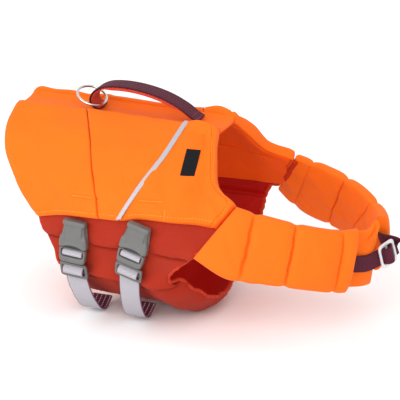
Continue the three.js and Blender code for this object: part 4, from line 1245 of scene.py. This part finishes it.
def rounded_run(start, end, radius, count):
    """Places along a span with a quarter circle of close steps at both ends, and their fullness."""
    near = radius * (1 - np.cos(np.linspace(0, HALF_TURN, 6)))
    run = np.concatenate([start + near[:-1], np.linspace(start + radius, end - radius, count),
                          end - near[-2::-1]])
    ends = np.clip(np.minimum(run - start, end - run) / radius, 0, 1)
    return run, np.sqrt(1 - (1 - ends) ** 2)


def socket_piece(name, place):
    run, full = rounded_run(0, SOCKET["length"], 1.6, 60)
    half = np.interp(run, [0, SOCKET["shoulder"], SOCKET["flare"], SOCKET["length"]],
                     [SOCKET["top"] / 2, SOCKET["top"] / 2 + 0.5, SOCKET["wide"] / 2 - 0.4,
                      SOCKET["wide"] / 2])
    half = half - 1.6 * (1 - full)
    thick = SOCKET["thick"] / 2 - 1.6 * (1 - full)

    def detail(a, d, b):
        """Hollow the front a little, and press in the side openings for the release arms."""
        front = np.clip(b / SOCKET["thick"], 0, 1)
        share = np.clip(np.abs(a) / (SOCKET["wide"] / 2), 0, 1)
        panel = smooth(d, 4, 7) * (1 - smooth(d, 25, 28)) * (1 - smooth(share, 0.5, 0.66))
        opening = np.exp(-(((d - 12) / 6.5) ** 6)) * smooth(share, 0.6, 0.68)
        arch = 3 * np.clip(1 - (a / 12) ** 2, 0, 1) * smooth(d, 24, 31)
        sunk = 0.9 * panel * front + 1.6 * opening * smooth(front, 0.3, 0.6)
        return a - np.sign(a) * 1.6 * opening * smooth(front, 0.3, 0.6), d - arch, b - sunk

    return loft(name, place, np.stack([run, half, thick, 0 * run + SOCKET["thick"] / 2], -1),
                grey_plastic, power=5, around=96, detail=detail)


# %% [markdown]
# A buckle hangs from the hem on its own tilted axes, and the slider under it leans out. The
# webbing is one line of points: through the plug, down behind it, over the slider's middle bar,
# and in a free loop back to the belly seam. A curve object could carry it, but a swept mesh keeps
# the webbing's face flat and its two sides apart.

# %% Belly buckles and webbing
def buckle(row):
    name = row["name"]
    x, tilt = BUCKLE_AT[name]
    across = np.array([np.cos(tilt), 0, -np.sin(tilt)])
    up = np.array([np.sin(tilt), 0, np.cos(tilt)])
    top = np.array([x, row["y"], float(column(HEM_HEIGHT, x)) - BUCKLE_UNDER_HEM])
    place = local_axes(top, across, up, OUT)
    lean_up = up * np.cos(SLIDER_LEAN) + OUT * np.sin(SLIDER_LEAN)
    lean_out = OUT * np.cos(SLIDER_LEAN) - up * np.sin(SLIDER_LEAN)
    lean_place = local_axes(place(0, SLIDER["drop"], SLIDER["sunk"]), across, lean_up, lean_out)
    socket = socket_piece(f"socket_{name}", place)
    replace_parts(socket, f"buckle_socket_{name}")

    plug_top = SOCKET["length"] + SEAM_GAP
    window_top = plug_top + PLUG["window_top"]
    window_low = window_top + PLUG["window"]
    plug_low = plug_top + PLUG["length"]
    count = 96
    hole = squircle(count, 13.1, PLUG["window"] / 2, 6, (0, (window_top + window_low) / 2))
    rim = squircle(count, SOCKET["wide"] / 2 - 0.7, PLUG["length"] / 2, 7, (0, (plug_top + plug_low) / 2))
    narrow = 1 - 0.07 * smooth(rim[:, 1], plug_top, plug_low)
    rim = rim * np.stack([narrow, np.ones(count)], -1)
    plug = frame_plate(f"plug_{name}", place, hole, rim, PLUG["thick"], PLUG["out"], grey_plastic)
    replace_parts(plug, f"buckle_plug_{name}")

    half_open = BELLY_WEBBING / 2 + 0.7
    length = SLIDER["length"]
    hole = squircle(count, half_open, length / 2 - SLIDER["bar"], 8, (0, length / 2))
    rim = squircle(count, SLIDER["wide"] / 2, length / 2, 8, (0, length / 2))
    slider = frame_plate(f"slider_{name}", lean_place, hole, rim, SLIDER["thick"], 0, grey_plastic)
    bar_run, _ = rounded_run(-half_open - 0.5, half_open + 0.5, 0.5, 12)
    bar = sweep(f"slider_bar_{name}", lean_place(bar_run, length / 2, SLIDER["thick"] / 2), lean_out,
                SLIDER["thick"] / 2 - 0.3, SLIDER["middle"] / 2, grey_plastic, power=3)
    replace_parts(slider, f"belly_slider_{name}")

    # The webbing's route
    at, lean = (lambda d, o: place(0, d, o)), (lambda d, o: lean_place(0, d, o))
    slots = length - 2 * SLIDER["bar"] - SLIDER["middle"]
    middle = length / 2
    over = SLIDER["thick"] + 2
    slot_step = (slots / 2 + SLIDER["middle"]) / 2 + 0.2
    route = [at(window_top + 4.4, 1.6), at(window_top + 2.6, 4.4), at(window_top + 3.6, 7.6),
             at(window_top + 6, 8.9), at(window_low - 1.9, 7.2), at(window_low - 2, 3.2),
             at(window_low + 0.4, 0.5), at(window_low + 4, 0.5), at(SLIDER["drop"] - 2, 0.3),
             lean(0.5, -1.9), lean(SLIDER["bar"] - 0.2, -1.7),
             lean(middle - slot_step, SLIDER["thick"] / 2), lean(middle - 2.8, over),
             lean(middle, over + 0.9), lean(middle + 2.8, over),
             lean(middle + slot_step, SLIDER["thick"] / 2), lean(length - SLIDER["bar"] + 0.2, -1.7),
             lean(length + 2, -2)]
    low = route[-1]
    finish = row["low_y"] + 18
    belly_half = float(column(SECTION_HALF, row["loop_x"]))
    belly_z = -CROWN_RADIUS - BELLY_DEPTH * np.sqrt(1 - (finish / belly_half) ** 2)
    bottom = belly_z - 9
    for share_y, share_z in ((0.08, 0.34), (0.3, 0.7), (0.62, 0.96), (0.94, 1.04)):
        route.append(np.array([lerp(low[0], row["loop_x"], share_z),
                               low[1] + share_y * (row["low_y"] - low[1]),
                               lerp(low[2], bottom, share_z)]))
    route.append(np.array([row["loop_x"], row["low_y"] + 10, bottom + 2.5]))
    route.append(np.array([row["loop_x"], finish - 1, belly_z - 2.2]))
    line = route_through(route, 240)
    turn = smooth(np.linspace(0, 1, len(line)), 0.45, 0.7)[:, None]
    wide_way = lerp(across, np.array([1.0, 0, 0]), turn)
    strap = sweep(f"belly_webbing_{name}", line, wide_way, BELLY_WEBBING / 2, WEBBING_WALL / 2,
                  [belly_outside, belly_inside], power=7, around=28, round_end=0.8)
    strap_length = float(run_lengths(line, 0)[-1])
    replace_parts(strap, f"belly_strap_{name}")
    print("belly webbing that shows,", name, round(strap_length), "mm")


for row in BUCKLES:
    buckle(row)

# %% [markdown]
# ## Chest slider and webbing
# The two tubes close with narrower webbing and a metal frame slider in front of the chest.
# The near length lies on the pad, goes behind the frame and comes out over its middle bar.

# %% Chest slider and straps
CHEST_WEBBING = 20
CHEST = dict(centre=(309.5, 3, -122), length=24, wide=30, thick=2.6, bar=3.2, open=10.6)
ALONG = np.array([0.42, 0.86, 0.28]) / np.linalg.norm([0.42, 0.86, 0.28])
UPWARD = np.array([0, 0, 1]) - ALONG[2] * ALONG
UPWARD /= np.linalg.norm(UPWARD)
FACING = np.cross(ALONG, UPWARD)
STRAP_DOWN = 0.55
chest_half = CHEST["length"] / 2
chest_place = local_axes(CHEST["centre"], UPWARD, -ALONG, FACING)
open_half = CHEST["open"]
hole = squircle(96, open_half, chest_half - CHEST["bar"], 7)
rim = squircle(96, CHEST["wide"] / 2, chest_half, 6)
chest_frame = frame_plate("chest_frame", chest_place, hole, rim, CHEST["thick"], -CHEST["thick"] / 2,
                          cast_metal, power=3)
bar_run, _ = rounded_run(-open_half - 0.5, open_half + 0.5, 0.5, 12)
chest_bar = sweep("chest_frame_bar", chest_place(bar_run, 0, 0), FACING, 1.1, CHEST["bar"] / 2,
                  cast_metal, power=2.4)
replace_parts(chest_frame, "chest_slider")


def on_slider(along, lift):
    return np.array(CHEST["centre"]) + along * ALONG + lift * FACING


def on_pad(u, lift):
    point = pad_base(u, STRAP_DOWN)
    normal = np.cross(pad_base(u, STRAP_DOWN + 0.01) - point, pad_base(u + 0.01, STRAP_DOWN) - point)
    return point + lift * normal / np.linalg.norm(normal)


PAD_LIFT = PAD_OUT + 2.1
behind = CHEST["thick"] / 2 + 1.3
near_route = [on_pad(u, PAD_LIFT) for u in (0.3, 0.42, 0.56, 0.7)] + [
    on_slider(-chest_half - 2.5, -behind - 0.5), on_slider(-chest_half + 2.6, -behind - 0.3),
    on_slider(-chest_half / 2 - 0.2, 0), on_slider(-4.4, behind + 1.4), on_slider(0, behind + 3.6),
    on_slider(4.4, behind + 1.4), on_slider(chest_half / 2 + 0.4, 0.2),
    on_slider(chest_half / 2 - 0.6, -1.6)]
mouth = tube_base(FAR_TUBE)(np.array(1.0), np.array(STRAP_DOWN - 0.1))
far_route = [on_slider(chest_half - 1.6, -behind), on_slider(chest_half + 4, -behind + 0.6),
             np.array([mouth[0] + 9, -mouth[1] - 8, mouth[2] + 3]),
             np.array([mouth[0] + 2.2, -mouth[1] - 0.7, mouth[2] + 1])]
for side, route, count in (("near", near_route, 110), ("far", far_route, 40)):
    line = route_through(route, count)
    strap = sweep(f"chest_webbing_{side}", line, UPWARD, CHEST_WEBBING / 2, WEBBING_WALL / 2,
                  burgundy_webbing, power=7, around=28, round_end=0.8)
    strap_length = float(run_lengths(line, 0)[-1])
    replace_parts(strap, f"chest_strap_{side}")
    print("chest webbing that shows,", side, round(strap_length), "mm")

# %% [markdown]
# ## Floor, light and camera
# A pale floor lies just under the webbing loops. The picture of such a product is taken from far
# away with a long lens, so that its lines stay nearly parallel.

# %% Floor
LOW = float(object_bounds()[0][2]) - 0.0005
floor_mesh = bpy.data.meshes.new("floor")
FLOOR = 6.0
corners = [(x * FLOOR, y * FLOOR, LOW) for x, y in ((-1, -1), (1, -1), (1, 1), (-1, 1))]
floor_mesh.from_pydata(corners, [], [(0, 1, 2, 3)])
floor = bpy.data.objects.new("floor", floor_mesh)
bpy.context.scene.collection.objects.link(floor)
floor_finish = Finish("floor_paint", 0.9)
floor_finish.join(floor_finish.mix(floor_finish.noise(1.5), srgb(250, 250, 250), srgb(255, 255, 255)),
                  floor_finish.shader.inputs["Base Color"])
floor_mesh.materials.append(floor_finish.material)
print("floor at", round(LOW * 1000, 1), "mm")

# %% [markdown]
# Even light from all round gives the pale shadows of a product picture, and the lamps add shape:
# one high on each side of the camera, one from above, and one low for the underside.

# %% Light
world = bpy.data.worlds.new("studio")
bpy.context.scene.world = world
world.use_nodes = True
world.node_tree.nodes["Background"].inputs["Color"].default_value = (1, 1, 1, 1)
world.node_tree.nodes["Background"].inputs["Strength"].default_value = 1.02


def soft_light(name, place, aim, size, power):
    lamp = bpy.data.lights.new(name, "AREA")
    lamp.size, lamp.energy = size, power
    light = bpy.data.objects.new(name, lamp)
    way = np.array(aim, float) - np.array(place, float)
    light.location = place
    light.rotation_euler = Vector(way).to_track_quat("-Z", "Y").to_euler()
    bpy.context.scene.collection.objects.link(light)


soft_light("key", (0.6, -1.8, 1.1), (0.1, 0, -0.05), 1.2, 14)
soft_light("left key", (-1.3, -1.6, 0.9), (0.2, 0.05, -0.08), 1.0, 9)
soft_light("top", (-0.2, 0.3, 1.9), (0.05, 0, -0.05), 1.6, 3)
soft_light("low fill", (-0.3, -1.7, 0.1), (0.05, -0.1, -0.2), 1.4, 8)

# %% [markdown]
# The camera was read from the photo as a direction, a scale and one point that is sure: the neck
# edge over the spine. The lens follows from the scale and the distance.

# %% Camera
AZIMUTH, ELEVATION = np.radians(22.5), np.radians(20)
FAR_AWAY, SENSOR = 5.0, 36.0
MM_PER_PIXEL, FRAME_PIXELS = 1.117, 400
ANCHOR, ANCHOR_PIXEL = np.array([120, 0, 8]), (229, 122.7)
right = np.array([np.cos(AZIMUTH), np.sin(AZIMUTH), 0])
upright = np.array([-np.sin(AZIMUTH) * np.sin(ELEVATION), np.cos(AZIMUTH) * np.sin(ELEVATION),
                    np.cos(ELEVATION)])
back = np.cross(right, upright)
target = (ANCHOR + right * (FRAME_PIXELS / 2 - ANCHOR_PIXEL[0]) * MM_PER_PIXEL
          - upright * (FRAME_PIXELS / 2 - ANCHOR_PIXEL[1]) * MM_PER_PIXEL) * MM
lens = bpy.data.cameras.new("camera")
lens.sensor_width = SENSOR
lens.lens = SENSOR * FAR_AWAY / (FRAME_PIXELS * MM_PER_PIXEL * MM)
lens.clip_end = 50
camera = bpy.data.objects.new("camera", lens)
turned = Matrix([list(axis) + [0] for axis in (right, upright, back)] + [[0, 0, 0, 1]]).transposed()
camera.matrix_world = Matrix.Translation(target + back * FAR_AWAY) @ turned
bpy.context.scene.collection.objects.link(camera)
bpy.context.scene.camera = camera
bpy.context.scene.view_settings.view_transform = "Standard"
print("lens:", round(lens.lens), "mm")
